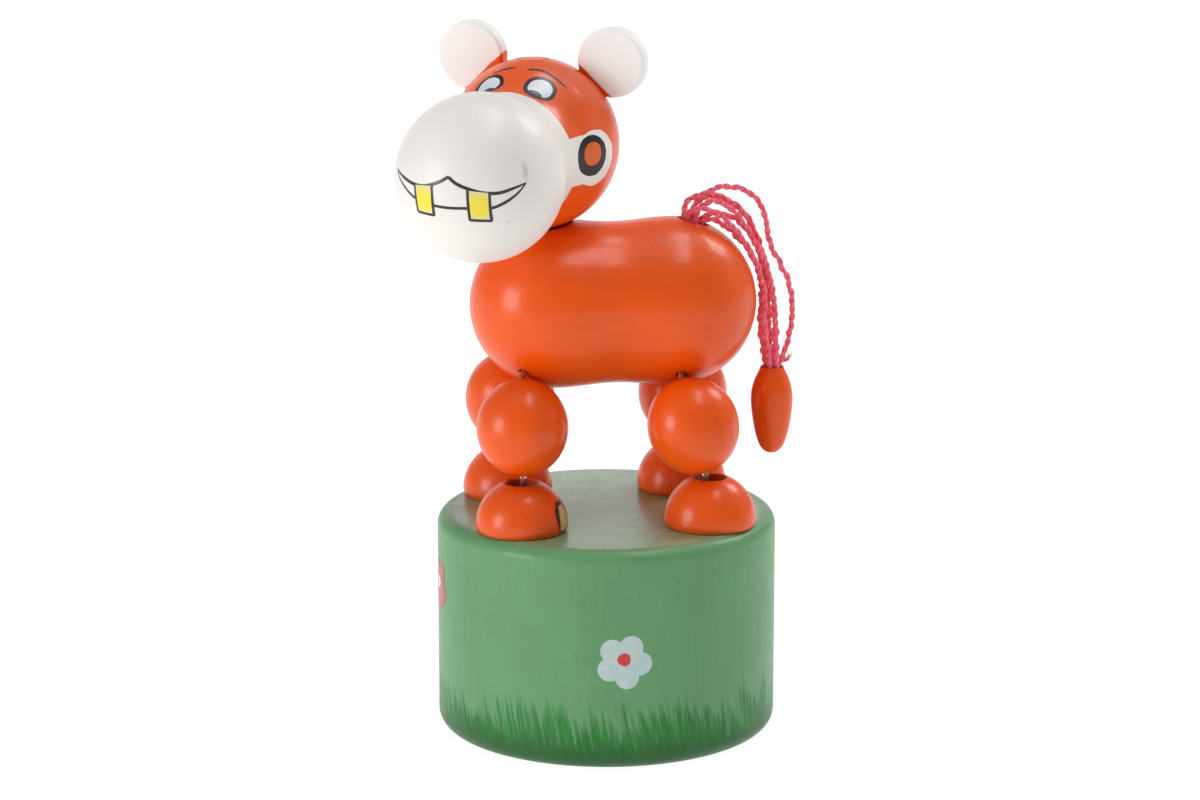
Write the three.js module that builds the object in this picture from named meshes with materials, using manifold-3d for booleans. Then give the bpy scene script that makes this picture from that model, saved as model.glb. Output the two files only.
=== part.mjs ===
// Thumb push puppet: a wooden animal held up on a turned base by tensioned lines.
// Millimetres, +Z up. The table is z = 0, the base's axis is Z, the animal faces -X and its left is -Y.
import * as THREE from "three";
import { mergeVertices } from "three/addons/utils/BufferGeometryUtils.js";
import Module from "manifold-3d";

const wasm = await Module();
wasm.setup();

const WELD = 1e-4;
const TURN = 2 * Math.PI;

function paint(color, roughness, metalness) {
  return new THREE.MeshStandardMaterial({ color, roughness, metalness });
}

const green = paint(0x6fa777, 0.35, 0);
const orange = paint(0xe8551a, 0.3, 0);
const white = paint(0xeae6e0, 0.3, 0);
const wood = paint(0xd9bb8a, 0.65, 0);
const steel = paint(0xb4b6b9, 0.3, 0.9);
const nylon = paint(0xe6e9ea, 0.2, 0);
const yarn = paint(0xdf4468, 0.8, 0);

// A closed geometry as a solid whose faces point out.
function solidOf(geometry) {
  const bare = geometry.index ? geometry.toNonIndexed() : geometry.clone();
  bare.deleteAttribute("normal");
  bare.deleteAttribute("uv");
  const merged = mergeVertices(bare, WELD);
  const index = merged.index.array;
  const kept = [];
  for (let i = 0; i < index.length; i += 3) {
    const [a, b, c] = [index[i], index[i + 1], index[i + 2]];
    if (a !== b && b !== c && c !== a) kept.push(a, b, c);
  }
  const build = (corners) =>
    new wasm.Manifold(
      new wasm.Mesh({
        numProp: 3,
        vertProperties: merged.attributes.position.array,
        triVerts: new Uint32Array(corners),
      }),
    );
  const first = build(kept);
  if (first.volume() > 0) return first;
  const turned = [];
  for (let i = 0; i < kept.length; i += 3)
    turned.push(kept[i], kept[i + 2], kept[i + 1]);
  return build(turned);
}

// Turned on a lathe about Z. The profile is a list of [radius, height].
function turnedGeometry(profile, segments) {
  const points = profile.map(([r, z]) => new THREE.Vector2(r, z));
  return new THREE.LatheGeometry(points, segments).rotateX(TURN / 4);
}

function turnedSolid(profile, segments, matrix) {
  const geometry = turnedGeometry(profile, segments);
  if (matrix) geometry.applyMatrix4(matrix);
  return solidOf(geometry);
}

// Points on an arc in the profile plane, angles in degrees from the radius axis.
function arc(r, z, radius, from, to, steps) {
  return Array.from({ length: steps + 1 }, (_, i) => {
    const a = THREE.MathUtils.degToRad(from + ((to - from) * i) / steps);
    return [Math.max(0, r + radius * Math.cos(a)), z + radius * Math.sin(a)];
  });
}

function drill(radius, from, to, segments) {
  const start = new THREE.Vector3(...from);
  const along = new THREE.Vector3(...to).sub(start);
  const length = along.length();
  const turn = new THREE.Quaternion().setFromUnitVectors(
    new THREE.Vector3(0, 0, 1),
    along.normalize(),
  );
  const matrix = new THREE.Matrix4().compose(
    start,
    turn,
    new THREE.Vector3(1, 1, 1),
  );
  const profile = [
    [0, 0],
    [radius, 0],
    [radius, length],
    [0, length],
  ];
  return turnedSolid(profile, segments, matrix);
}

function rod(route, radius, sides, steps) {
  const path = new THREE.CatmullRomCurve3(
    route.map((p) => new THREE.Vector3(...p)),
    false,
    "centripetal",
  );
  const outline = new THREE.Shape(
    Array.from(
      { length: sides },
      (_, i) =>
        new THREE.Vector2(
          radius * Math.cos((TURN * i) / sides),
          radius * Math.sin((TURN * i) / sides),
        ),
    ),
  );
  return solidOf(
    new THREE.ExtrudeGeometry(outline, {
      steps,
      extrudePath: path,
      bevelEnabled: false,
    }),
  );
}

// Each corner of a route becomes two points, so that the straight runs stay straight.
function easeCorners(route, reach) {
  const points = route.map((p) => new THREE.Vector3(...p));
  const eased = [points[0]];
  for (let i = 1; i < points.length - 1; i++) {
    const before = points[i - 1].clone().sub(points[i]);
    const after = points[i + 1].clone().sub(points[i]);
    eased.push(
      points[i].clone().addScaledVector(before.normalize(), reach),
      points[i].clone().addScaledVector(after.normalize(), reach),
    );
  }
  eased.push(points[points.length - 1]);
  return eased.map((p) => p.toArray());
}

const group = new THREE.Group();
group.name = "push_puppet";

function add(name, solid, material) {
  const made = solid.getMesh();
  const positions = new Float32Array(made.numVert * 3);
  for (let i = 0; i < made.numVert; i++)
    positions.set(
      made.vertProperties.subarray(i * made.numProp, i * made.numProp + 3),
      i * 3,
    );
  const geometry = new THREE.BufferGeometry()
    .setAttribute("position", new THREE.BufferAttribute(positions, 3))
    .setIndex(new THREE.BufferAttribute(new Uint32Array(made.triVerts), 1));
  geometry.computeVertexNormals();
  const mesh = new THREE.Mesh(geometry, material);
  mesh.name = name;
  group.add(mesh);
}

const UP = new THREE.Vector3(0, 0, 1);
const shift = (x, y, z) => new THREE.Matrix4().makeTranslation(x, y, z);
const vec = (p) => new THREE.Vector3(...p);
const atStep = (p, direction, distance) =>
  vec(p).addScaledVector(direction, distance).toArray();

// Sizes of the lines and of the holes they run in.
const LINE = { radius: 0.45, bore: 0.8, sides: 8, stepEvery: 2.3, corner: 0.5 };

const BASE = {
  radius: 25,
  wall: 5.4,
  height: 32.7,
  deck: 7.5,
  topRound: 2,
  footRound: 2.5,
  cavityRound: 1.5,
  mouth: 0.8,
  lineBore: 1.2,
  segments: 56,
};
BASE.cavity = BASE.radius - BASE.wall;
BASE.deckUnder = BASE.height - BASE.deck;

const BUTTON = {
  slide: 0.6, // clearance all round in the cavity
  under: 0.5,
  top: 7,
  chamfer: 0.6,
  boss: 6.8,
  bossTop: 9.5,
  lineBore: 0.9,
  pocket: 2.2,
  pocketTop: 3,
  segments: 40,
};
BUTTON.radius = BASE.cavity - BUTTON.slide;

const KNOT = { radius: 1.5, seat: 1.2, height: 2, steps: 4, segments: 14 };

const SPRING = {
  slack: 1.2, // between the boss and the middle of the wire
  wire: 0.45,
  gap: 0.08,
  turns: 7,
  closedPitch: 1.3,
  perTurn: 8,
  sides: 5,
};
SPRING.coil = BUTTON.boss + SPRING.slack;

const FOOT = {
  radius: 6.7,
  half: 6.8, // height of the dome above its centre
  centre: 0.8,
  sole: 6.25,
  rim: 0.25,
  flareFrom: 3.2,
  flareTo: 7.6,
  flare: 2.5,
  steps: 6,
  segments: 20,
};

// Inward is the share of a leg bead's bore that points in under the body.
const LEG = { radius: 6.65, half: 7.15, inward: 0.3, steps: 10, segments: 20 };

// Heights of the animal are above the deck, apart from the body's, which follow from its axis.
const BODY = {
  radius: 12.37,
  waist: 0.55,
  front: -7.7,
  rear: 9.7,
  rests: 0.15, // least gap to a leg bead
  neckBore: 1.4,
  neckFloor: 0.1,
  tailBore: 2.4,
  tailShelf: 5.1,
  tailX: 12.8,
  lineMeet: 2.8,
  linesApart: 0.65,
  endSteps: 8,
  waistSteps: 6,
  segments: 32,
};

// The head's own directions: side is its left, up is over the eyes, face is where the muzzle points.
const HEAD = {
  x: -10.71,
  rise: 23.75, // of its middle above the body's axis
  cranium: 12.5,
  muzzle: 12,
  waist: 9.6,
  waistAt: 11,
  seatGap: 0.35,
  lineBore: 1.4,
  chamber: 2.3,
  shelf: 1.6,
  plugFrom: 4.4,
  plugFit: 0.12,
  plugSink: 0.05,
  segments: 32,
};
HEAD.plug = HEAD.chamber - HEAD.plugFit;

const EAR = {
  radius: 5.1,
  thick: 2.6,
  round: 0.45,
  side: 10.88,
  up: 11.56,
  back: 4.8,
  slot: 0.15,
  pin: 0.7,
  pinBore: 0.82,
  pinFrom: 8.4,
  pinTo: 13.2,
  pinEnd: 0.2,
  segments: 28,
};

const TAIL = {
  radius: 0.45,
  ring: 1.25,
  knotTop: 9.3, // above the body's axis
  beadX: 24.7,
  beadRing: 1,
  steps: 9,
  sides: 8,
};

const BEAD = {
  radius: 3.1,
  height: 13.1,
  below: 10.4, // its top under the body's axis
  bore: 1.6,
  depth: 4.4,
  sink: 2.3, // of the threads' ends under its top
  knot: 1.5,
  knotSeat: 1.4,
  knotHeight: 1.8,
  segments: 20,
};

// Where each foot stands, in shares of the base's radius, and how far its leg bead is from there.
const legs = [
  {
    name: "front_left",
    stand: [-0.552, -0.424],
    offset: [0.25, 0.85, 15.05],
    body: "front",
  },
  {
    name: "front_right",
    stand: [-0.54, 0.432],
    offset: [0.3, -1.05, 15],
    body: "front",
  },
  {
    name: "rear_left",
    stand: [0.552, -0.444],
    offset: [-2.5, 0.5, 14.7],
    body: "rear",
  },
  {
    name: "rear_right",
    stand: [0.516, 0.444],
    offset: [0.1, -0.25, 14.8],
    body: "rear",
  },
];
const ANCHOR_SHARE = 0.8; // of each foot's distance from the axis, where its line passes the button
for (const leg of legs) {
  leg.foot = leg.stand.map((share) => share * BASE.radius);
  leg.anchor = leg.foot.map((v) => v * ANCHOR_SHARE);
  leg.ball = atStep([...leg.foot, BASE.height], vec(leg.offset), 1);
  leg.footPoint = [...leg.foot, BASE.height + FOOT.flareFrom];
  leg.way = vec(leg.ball).sub(vec(leg.footPoint)).normalize();
  leg.way.y = -Math.sign(leg.foot[1]) * LEG.inward;
  leg.way.normalize();
}

// The body rests on its leg beads, so its axis is the lowest that clears them all.
const reach = BODY.radius + LEG.half + BODY.rests;
BODY.axis = Math.max(
  ...legs.map(({ ball: [x, y, z], body }) => {
    const beyond = Math.max(0, Math.abs(x) - Math.abs(BODY[body]));
    return z + Math.sqrt(reach ** 2 - y ** 2 - beyond ** 2);
  }),
);
HEAD.centre = [HEAD.x, 0, BODY.axis + HEAD.rise];
TAIL.start = BODY.axis + TAIL.knotTop;
BEAD.top = BODY.axis - BEAD.below;
TAIL.end = BEAD.top - BEAD.sink;
for (const leg of legs) {
  const [x] = leg.ball;
  const inside = vec([
    Math.min(Math.max(x, BODY.front), BODY.rear),
    0,
    BODY.axis,
  ]);
  const out = vec(atStep(leg.ball, leg.way, LEG.half)).sub(inside).normalize();
  leg.mouth = atStep(inside, out, BODY.radius);
  leg.to = [
    leg.body === "front" ? HEAD.x : BODY.tailX,
    Math.sign(leg.foot[1]) * BODY.linesApart,
    BODY.axis + BODY.lineMeet,
  ];
}

// Base shell, a turned cup with its mouth down.
const baseProfile = [
  [BASE.cavity + BASE.mouth, 0],
  ...arc(
    BASE.radius - BASE.footRound,
    BASE.footRound,
    BASE.footRound,
    -90,
    0,
    4,
  ),
  ...arc(
    BASE.radius - BASE.topRound,
    BASE.height - BASE.topRound,
    BASE.topRound,
    0,
    90,
    4,
  ),
  [0, BASE.height],
  [0, BASE.deckUnder],
  ...arc(
    BASE.cavity - BASE.cavityRound,
    BASE.deckUnder - BASE.cavityRound,
    BASE.cavityRound,
    90,
    0,
    3,
  ),
  [BASE.cavity, BASE.mouth],
  [BASE.cavity + BASE.mouth, 0],
];
let base = turnedSolid(baseProfile, BASE.segments);
for (const leg of legs)
  base = base.subtract(
    drill(
      BASE.lineBore,
      [...leg.foot, BASE.deckUnder - BASE.topRound],
      [...leg.foot, BASE.height + BASE.topRound],
      12,
    ),
  );
add("base_shell", base, green);

// Thumb button with a boss that centres the spring and four pockets for the knots.
let button = turnedSolid(
  [
    [0, BUTTON.under],
    [BUTTON.radius - BUTTON.chamfer, BUTTON.under],
    [BUTTON.radius, BUTTON.under + BUTTON.chamfer],
    [BUTTON.radius, BUTTON.top - BUTTON.chamfer],
    [BUTTON.radius - BUTTON.chamfer, BUTTON.top],
    [BUTTON.boss, BUTTON.top],
    [BUTTON.boss, BUTTON.bossTop - BUTTON.chamfer],
    [BUTTON.boss - BUTTON.chamfer, BUTTON.bossTop],
    [0, BUTTON.bossTop],
  ],
  BUTTON.segments,
);
for (const leg of legs) {
  const [x, y] = leg.anchor;
  button = button
    .subtract(drill(BUTTON.lineBore, [x, y, 0], [x, y, BUTTON.bossTop], 12))
    .subtract(drill(BUTTON.pocket, [x, y, 0], [x, y, BUTTON.pocketTop], 16));
}
add("thumb_button", button, wood);

// Knots under the button, each with a flat seat against its pocket.
const knotRise = Math.sqrt(KNOT.radius ** 2 - KNOT.seat ** 2);
const knotProfile = [
  [0, BUTTON.pocketTop - KNOT.height],
  ...arc(
    0,
    BUTTON.pocketTop - knotRise,
    KNOT.radius,
    -45,
    THREE.MathUtils.radToDeg(Math.asin(knotRise / KNOT.radius)),
    KNOT.steps,
  ),
  [0, BUTTON.pocketTop],
];
for (const leg of legs)
  add(
    "line_knot_" + leg.name,
    turnedSolid(knotProfile, KNOT.segments, shift(...leg.anchor, 0)),
    nylon,
  );

// Return spring, closed at both ends.
const springFrom = BUTTON.top + SPRING.wire + SPRING.gap;
const springTo = BASE.deckUnder - SPRING.wire - SPRING.gap;
const openPitch =
  (springTo - springFrom - 2 * SPRING.closedPitch) / (SPRING.turns - 2);
const springRoute = Array.from(
  { length: SPRING.turns * SPRING.perTurn + 1 },
  (_, i) => {
    const t = i / SPRING.perTurn;
    const open = Math.min(Math.max(t - 1, 0), SPRING.turns - 2);
    const closed = t - open;
    const a = TURN * t;
    return [
      SPRING.coil * Math.cos(a),
      SPRING.coil * Math.sin(a),
      springFrom + closed * SPRING.closedPitch + open * openPitch,
    ];
  },
);
add(
  "return_spring",
  rod(
    springRoute,
    SPRING.wire,
    SPRING.sides,
    SPRING.turns * SPRING.perTurn,
  ),
  steel,
);

// Feet, half balls whose bore flares towards the ankle.
const footEnd = THREE.MathUtils.radToDeg(Math.acos(LINE.bore / FOOT.radius));
const footArc = arc(0, 0, FOOT.radius, 0, footEnd, FOOT.steps).map(([r, z]) => [
  r,
  FOOT.centre + (z * FOOT.half) / FOOT.radius,
]);
const footProfile = [
  [LINE.bore, 0],
  [FOOT.sole, 0],
  [(FOOT.sole + FOOT.radius) / 2, FOOT.rim],
  ...footArc,
  [LINE.bore, 0],
];
const flareProfile = [
  [0, FOOT.flareFrom],
  [LINE.bore, FOOT.flareFrom],
  [FOOT.flare, FOOT.flareTo],
  [0, FOOT.flareTo],
];
for (const leg of legs) {
  const place = shift(...leg.foot, BASE.height);
  add(
    "foot_" + leg.name,
    turnedSolid(footProfile, FOOT.segments, place).subtract(
      turnedSolid(flareProfile, 12, place),
    ),
    orange,
  );
}

// Leg beads, a little longer than wide, bored along the way their line takes.
const legEnd = THREE.MathUtils.radToDeg(Math.acos(LINE.bore / LEG.radius));
const legArc = arc(0, 0, LEG.radius, -legEnd, legEnd, LEG.steps).map(
  ([r, z]) => [r, (z * LEG.half) / LEG.radius],
);
const legProfile = [...legArc, legArc[0]];
for (const leg of legs) {
  const turn = new THREE.Quaternion().setFromUnitVectors(
    new THREE.Vector3(0, 0, 1),
    leg.way,
  );
  add(
    "leg_" + leg.name,
    turnedSolid(
      legProfile,
      LEG.segments,
      new THREE.Matrix4().compose(
        vec(leg.ball),
        turn,
        new THREE.Vector3(1, 1, 1),
      ),
    ),
    orange,
  );
}

// Body, one barrel with round ends, turned about X.
const bodyProfile = [
  ...arc(0, BODY.front, BODY.radius, -90, 0, BODY.endSteps),
  ...Array.from({ length: BODY.waistSteps - 1 }, (_, i) => {
    const t = (i + 1) / BODY.waistSteps;
    return [
      BODY.radius - (BODY.waist * (1 - Math.cos(TURN * t))) / 2,
      BODY.front + t * (BODY.rear - BODY.front),
    ];
  }),
  ...arc(0, BODY.rear, BODY.radius, 0, 90, BODY.endSteps),
];
const [headX, headY, headZ] = HEAD.centre;
const bodyTop = BODY.axis + BODY.radius;
let body = turnedSolid(
  bodyProfile,
  BODY.segments,
  shift(0, 0, BODY.axis).multiply(
    new THREE.Matrix4().makeRotationY(TURN / 4),
  ),
)
  .subtract(
    turnedSolid(
      arc(0, 0, HEAD.cranium + HEAD.seatGap, -90, 90, 18),
      28,
      shift(headX, headY, headZ),
    ),
  )
  .subtract(
    drill(
      BODY.neckBore,
      [headX, headY, BODY.axis + BODY.neckFloor],
      [headX, headY, headZ],
      16,
    ),
  )
  .subtract(
    drill(
      BODY.neckBore,
      [BODY.tailX, 0, BODY.axis + BODY.neckFloor],
      [BODY.tailX, 0, bodyTop],
      16,
    ),
  )
  .subtract(
    drill(
      BODY.tailBore,
      [BODY.tailX, 0, BODY.axis + BODY.tailShelf],
      [BODY.tailX, 0, bodyTop + BODY.waist],
      20,
    ),
  );
for (const leg of legs) {
  const inward = vec(leg.to).sub(vec(leg.mouth)).normalize();
  body = body.subtract(
    drill(LINE.bore, atStep(leg.mouth, inward, -BODY.tailBore), leg.to, 12),
  );
}
add("body_barrel", body, orange);

// Head, one double ball turned about the way it faces.
const faceYaw = THREE.MathUtils.degToRad(62.7);
const faceDip = THREE.MathUtils.degToRad(4.06);
const face = new THREE.Vector3(
  -Math.cos(faceYaw) * Math.cos(faceDip),
  -Math.sin(faceYaw) * Math.cos(faceDip),
  -Math.sin(faceDip),
);
const side = new THREE.Vector3(Math.sin(faceYaw), -Math.cos(faceYaw), 0);
const up = new THREE.Vector3().crossVectors(face, side);
const headFrame = new THREE.Matrix4()
  .makeBasis(side, up, face)
  .setPosition(headX, headY, headZ);
const hollow =
  (HEAD.waistAt ** 2 + HEAD.waist ** 2 - HEAD.cranium ** 2) /
  (2 * (HEAD.cranium - HEAD.waist));
const hollowR = HEAD.waist + hollow;
const muzzleAt =
  HEAD.waistAt + Math.sqrt((HEAD.muzzle + hollow) ** 2 - hollowR ** 2);
const craniumEnd = THREE.MathUtils.radToDeg(
  Math.atan2(HEAD.waistAt, hollowR),
);
const muzzleStart = THREE.MathUtils.radToDeg(
  Math.atan2(HEAD.waistAt - muzzleAt, hollowR),
);
const headProfile = [
  ...arc(0, 0, HEAD.cranium, -90, craniumEnd, 12),
  ...arc(
    hollowR,
    HEAD.waistAt,
    hollow,
    180 + craniumEnd,
    180 + muzzleStart,
    6,
  ).slice(1, -1),
  ...arc(0, muzzleAt, HEAD.muzzle, muzzleStart, 90, 11),
];
const headTop = headZ + HEAD.cranium + HEAD.plug;
let head = turnedSolid(headProfile, HEAD.segments, headFrame)
  .subtract(
    drill(
      HEAD.lineBore,
      [headX, headY, headZ - HEAD.cranium - HEAD.plug],
      [headX, headY, headZ],
      16,
    ),
  )
  .subtract(
    drill(
      HEAD.chamber,
      [headX, headY, headZ - HEAD.shelf],
      [headX, headY, headTop],
      20,
    ),
  );

const earProfile = [
  [0, -EAR.thick / 2],
  ...arc(
    EAR.radius - EAR.round,
    EAR.round - EAR.thick / 2,
    EAR.round,
    -90,
    0,
    3,
  ),
  ...arc(
    EAR.radius - EAR.round,
    EAR.thick / 2 - EAR.round,
    EAR.round,
    0,
    90,
    3,
  ),
  [0, EAR.thick / 2],
];
const slotProfile = [
  [0, -EAR.thick / 2 - EAR.slot],
  [EAR.radius + EAR.slot, -EAR.thick / 2 - EAR.slot],
  [EAR.radius + EAR.slot, EAR.thick / 2 + EAR.slot],
  [0, EAR.thick / 2 + EAR.slot],
];
const ears = [
  { name: "left", sign: 1 },
  { name: "right", sign: -1 },
];
const earReach = Math.hypot(EAR.side, EAR.up);
for (const ear of ears) {
  const along = new THREE.Vector3()
    .addScaledVector(side, (ear.sign * EAR.side) / earReach)
    .addScaledVector(up, EAR.up / earReach);
  const back = atStep(HEAD.centre, face, -EAR.back);
  const centre = atStep(back, along, earReach);
  ear.frame = new THREE.Matrix4()
    .makeBasis(side, up, face)
    .setPosition(...centre);
  ear.pinFrom = atStep(back, along, EAR.pinFrom);
  ear.pinTo = atStep(back, along, EAR.pinTo);
  ear.boreFrom = atStep(back, along, EAR.pinFrom - EAR.pinEnd);
  ear.boreTo = atStep(back, along, EAR.pinTo + EAR.pinEnd);
  head = head
    .subtract(turnedSolid(slotProfile, EAR.segments, ear.frame))
    .subtract(drill(EAR.pinBore, ear.boreFrom, ear.boreTo, 12));
}
add("head", head, orange);
for (const ear of ears) {
  add(
    "ear_" + ear.name,
    turnedSolid(earProfile, EAR.segments, ear.frame).subtract(
      drill(EAR.pinBore, ear.boreFrom, ear.boreTo, 12),
    ),
    white,
  );
  add("ear_pin_" + ear.name, drill(EAR.pin, ear.pinFrom, ear.pinTo, 12), wood);
}

// Plug over the head's chamber, finished to the cranium's curve.
add(
  "head_plug",
  drill(
    HEAD.plug,
    [headX, headY, headZ + HEAD.plugFrom],
    [headX, headY, headTop],
    20,
  ).intersect(
    turnedSolid(
      arc(0, 0, HEAD.cranium - HEAD.plugSink, -90, 90, 32),
      48,
      shift(headX, headY, headZ),
    ),
  ),
  orange,
);

// Knots that end the two pairs of lines, and the knots that hold the tail's threads.
const END_KNOT = { radius: 1.9, drop: 1.3, steps: 8, segments: 18 };
const endKnotSeat = Math.sqrt(END_KNOT.radius ** 2 - END_KNOT.drop ** 2);
const endKnotProfile = [
  [0, -END_KNOT.drop],
  [endKnotSeat, -END_KNOT.drop],
  ...arc(
    0,
    0,
    END_KNOT.radius,
    -THREE.MathUtils.radToDeg(Math.asin(END_KNOT.drop / END_KNOT.radius)),
    90,
    END_KNOT.steps,
  ).slice(1),
];
const headKnotUnder = headZ - END_KNOT.drop;
add(
  "head_knot",
  turnedSolid(
    endKnotProfile,
    END_KNOT.segments,
    shift(headX, headY, headZ),
  ),
  nylon,
);
const rearKnot = { radius: 1.9, seat: 1.55, belly: 0.9, height: 2.2 };
add(
  "rear_knot",
  turnedSolid(
    [
      [0, 0],
      [rearKnot.seat, 0],
      [rearKnot.radius, rearKnot.belly],
      [rearKnot.seat, rearKnot.height - rearKnot.belly / 2],
      [0, rearKnot.height],
    ],
    END_KNOT.segments,
    shift(BODY.tailX, 0, BODY.axis + BODY.tailShelf),
  ),
  nylon,
);
const tailKnot = { radius: 1.98, seat: 1.85, height: 1.4 };
add(
  "tail_knot",
  turnedSolid(
    [
      [0, TAIL.start - tailKnot.height],
      [tailKnot.seat, TAIL.start - tailKnot.height],
      [tailKnot.radius, TAIL.start - tailKnot.height / 2],
      [tailKnot.seat, TAIL.start],
      [0, TAIL.start],
    ],
    END_KNOT.segments,
    shift(BODY.tailX, 0, 0),
  ),
  yarn,
);

// Lines, each one piece from its knot under the button to the end knot of its pair.
const LINE_CLEAR = { button: 0.9, deck: 0.6, ball: 0.05 };
const ballReach = LEG.half + LINE_CLEAR.ball;
for (const leg of legs) {
  const end =
    leg.body === "front" ? headKnotUnder : BODY.axis + BODY.tailShelf;
  const [toX, toY, toZ] = leg.to;
  const route = [
    [...leg.anchor, BUTTON.pocketTop],
    [...leg.anchor, BUTTON.top + LINE_CLEAR.button],
    [...leg.foot, BASE.deckUnder - LINE_CLEAR.deck],
    leg.footPoint,
    atStep(leg.ball, leg.way, -ballReach),
    atStep(leg.ball, leg.way, ballReach),
    leg.mouth,
    [toX, toY, toZ],
    [toX, toY, end],
  ];
  const steps = Math.round((end - BUTTON.pocketTop) / LINE.stepEvery);
  add(
    "line_" + leg.name,
    rod(easeCorners(route, LINE.corner), LINE.radius, LINE.sides, steps),
    nylon,
  );
}

// Tail threads, one piece each from the tail knot to the bead knot, by way of points whose
// heights are above the body's axis. Start and finish are places round the two holes, in degrees.
const threads = [
  {
    start: 90,
    finish: 60,
    way: [
      [13.3, 1.35, 13.8],
      [15.6, 1.3, 15.3],
      [18.2, 1.3, 14.3],
      [20.6, 1.25, 12.4],
      [22.3, 1.2, 9.4],
      [23.6, 1.1, 5.4],
      [24.6, 1.0, 1.1],
      [25.2, 1.0, -3.9],
    ],
  },
  {
    start: 270,
    finish: 300,
    way: [
      [13.5, -1.3, 13.8],
      [15.6, -1.3, 14.9],
      [18.2, -1.3, 13.6],
      [21.0, -1.2, 10],
      [23.3, -1.0, 5.5],
      [24.6, -0.9, 0.6],
      [25.0, -0.9, -3.9],
    ],
  },
  {
    start: 210,
    finish: 240,
    way: [
      [11.9, -1.7, 13.4],
      [13.7, -2.6, 14.0],
      [16.4, -2.6, 12.9],
      [19.0, -2.4, 10.3],
      [21.4, -2.1, 6.5],
      [23.0, -1.8, 1.9],
      [23.3, -1.6, -3.9],
    ],
  },
  {
    start: 150,
    finish: 120,
    way: [
      [11.8, 1.8, 13.7],
      [13.8, 2.7, 15],
      [17.2, 2.7, 14.7],
      [20.4, 2.5, 12.7],
      [22.5, 2.2, 8.5],
      [23.6, 1.9, 2.7],
      [23.9, 1.7, -3.9],
    ],
  },
  {
    start: 30,
    finish: null,
    way: [
      [14.6, 0.5, 12.4],
      [16.9, 0.35, 12.7],
      [19.4, 0.2, 11.6],
      [21.7, 0.1, 8.8],
      [23.3, 0.1, 4.7],
      [24.0, 0.1, 0.5],
      [24.2, 0.1, -3.9],
    ],
  },
  {
    start: 330,
    finish: 180,
    way: [
      [14.9, -0.85, 12.1],
      [16.6, -0.95, 11.6],
      [19.2, -0.85, 9.4],
      [21.7, -0.7, 6],
      [22.9, -0.5, 1.7],
      [22.8, -0.2, -3.9],
    ],
  },
  {
    start: null,
    finish: 0,
    way: [
      [13.0, 0, 14.2],
      [15.0, 0, 16.1],
      [18.3, -0.1, 16.7],
      [21.3, -0.2, 15.6],
      [23.1, -0.2, 13.2],
      [23.7, -0.1, 10.6],
      [24.2, 0, 8.1],
      [25.6, 0, 5.4],
      [27.0, 0, 2.4],
      [27.6, 0, -1.0],
      [27.4, 0, -4.8],
      [26.5, 0, -8.3],
    ],
  },
];
const onRing = (x, radius, degrees) => {
  if (degrees === null) return [x, 0];
  const a = THREE.MathUtils.degToRad(degrees);
  return [x + radius * Math.cos(a), radius * Math.sin(a)];
};
const THREAD_CLEAR = { knot: 1.1, bead: 0.1, inBead: 1.3 };
threads.forEach((thread, i) => {
  const start = onRing(BODY.tailX, TAIL.ring, thread.start);
  const finish = onRing(TAIL.beadX, TAIL.beadRing, thread.finish);
  const route = [
    [...start, TAIL.start],
    [...start, TAIL.start + THREAD_CLEAR.knot],
    [...start, TAIL.start + 2 * THREAD_CLEAR.knot],
    ...thread.way.map((point) => atStep(point, UP, BODY.axis)),
    [...finish, BEAD.top + THREAD_CLEAR.bead],
    [...finish, BEAD.top - THREAD_CLEAR.inBead],
    [...finish, TAIL.end],
  ];
  add(
    "tail_thread_" + (i + 1),
    rod(route, TAIL.radius, TAIL.sides, TAIL.steps + route.length),
    yarn,
  );
});

// Tail bead, a teardrop bored from its top. Each pair is a share of its radius and of its height.
const beadShape = [
  [0, 0],
  [0.29, 0.015],
  [0.54, 0.076],
  [0.72, 0.183],
  [0.86, 0.32],
  [0.957, 0.473],
  [1, 0.626],
  [0.975, 0.72],
  [0.9, 0.8],
  [0.8, 0.87],
  [0.68, 0.93],
  [0.6, 0.97],
  [0.56, 1],
];
const beadUnder = BEAD.top - BEAD.height;
add(
  "tail_bead",
  turnedSolid(
    [
      ...beadShape.map(([r, z]) => [
        r * BEAD.radius,
        beadUnder + z * BEAD.height,
      ]),
      [BEAD.bore, BEAD.top],
      [BEAD.bore, BEAD.top - BEAD.depth],
      [0, BEAD.top - BEAD.depth],
    ],
    BEAD.segments,
    shift(TAIL.beadX, 0, 0),
  ),
  orange,
);
add(
  "bead_knot",
  turnedSolid(
    [
      [0, TAIL.end - BEAD.knotHeight],
      [BEAD.knotSeat, TAIL.end - BEAD.knotHeight],
      [BEAD.knot, TAIL.end - BEAD.knotHeight / 2],
      [BEAD.knotSeat, TAIL.end],
      [0, TAIL.end],
    ],
    KNOT.segments,
    shift(TAIL.beadX, 0, 0),
  ),
  yarn,
);

export default group;
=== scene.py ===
"""Looks of the thumb push puppet. Metres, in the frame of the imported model."""

from functools import partialmethod
from math import acos, asin, atan2, copysign, cos, pi, sin, sqrt

import bmesh
import bpy
import numpy as np
from mathutils import Matrix, Vector


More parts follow.
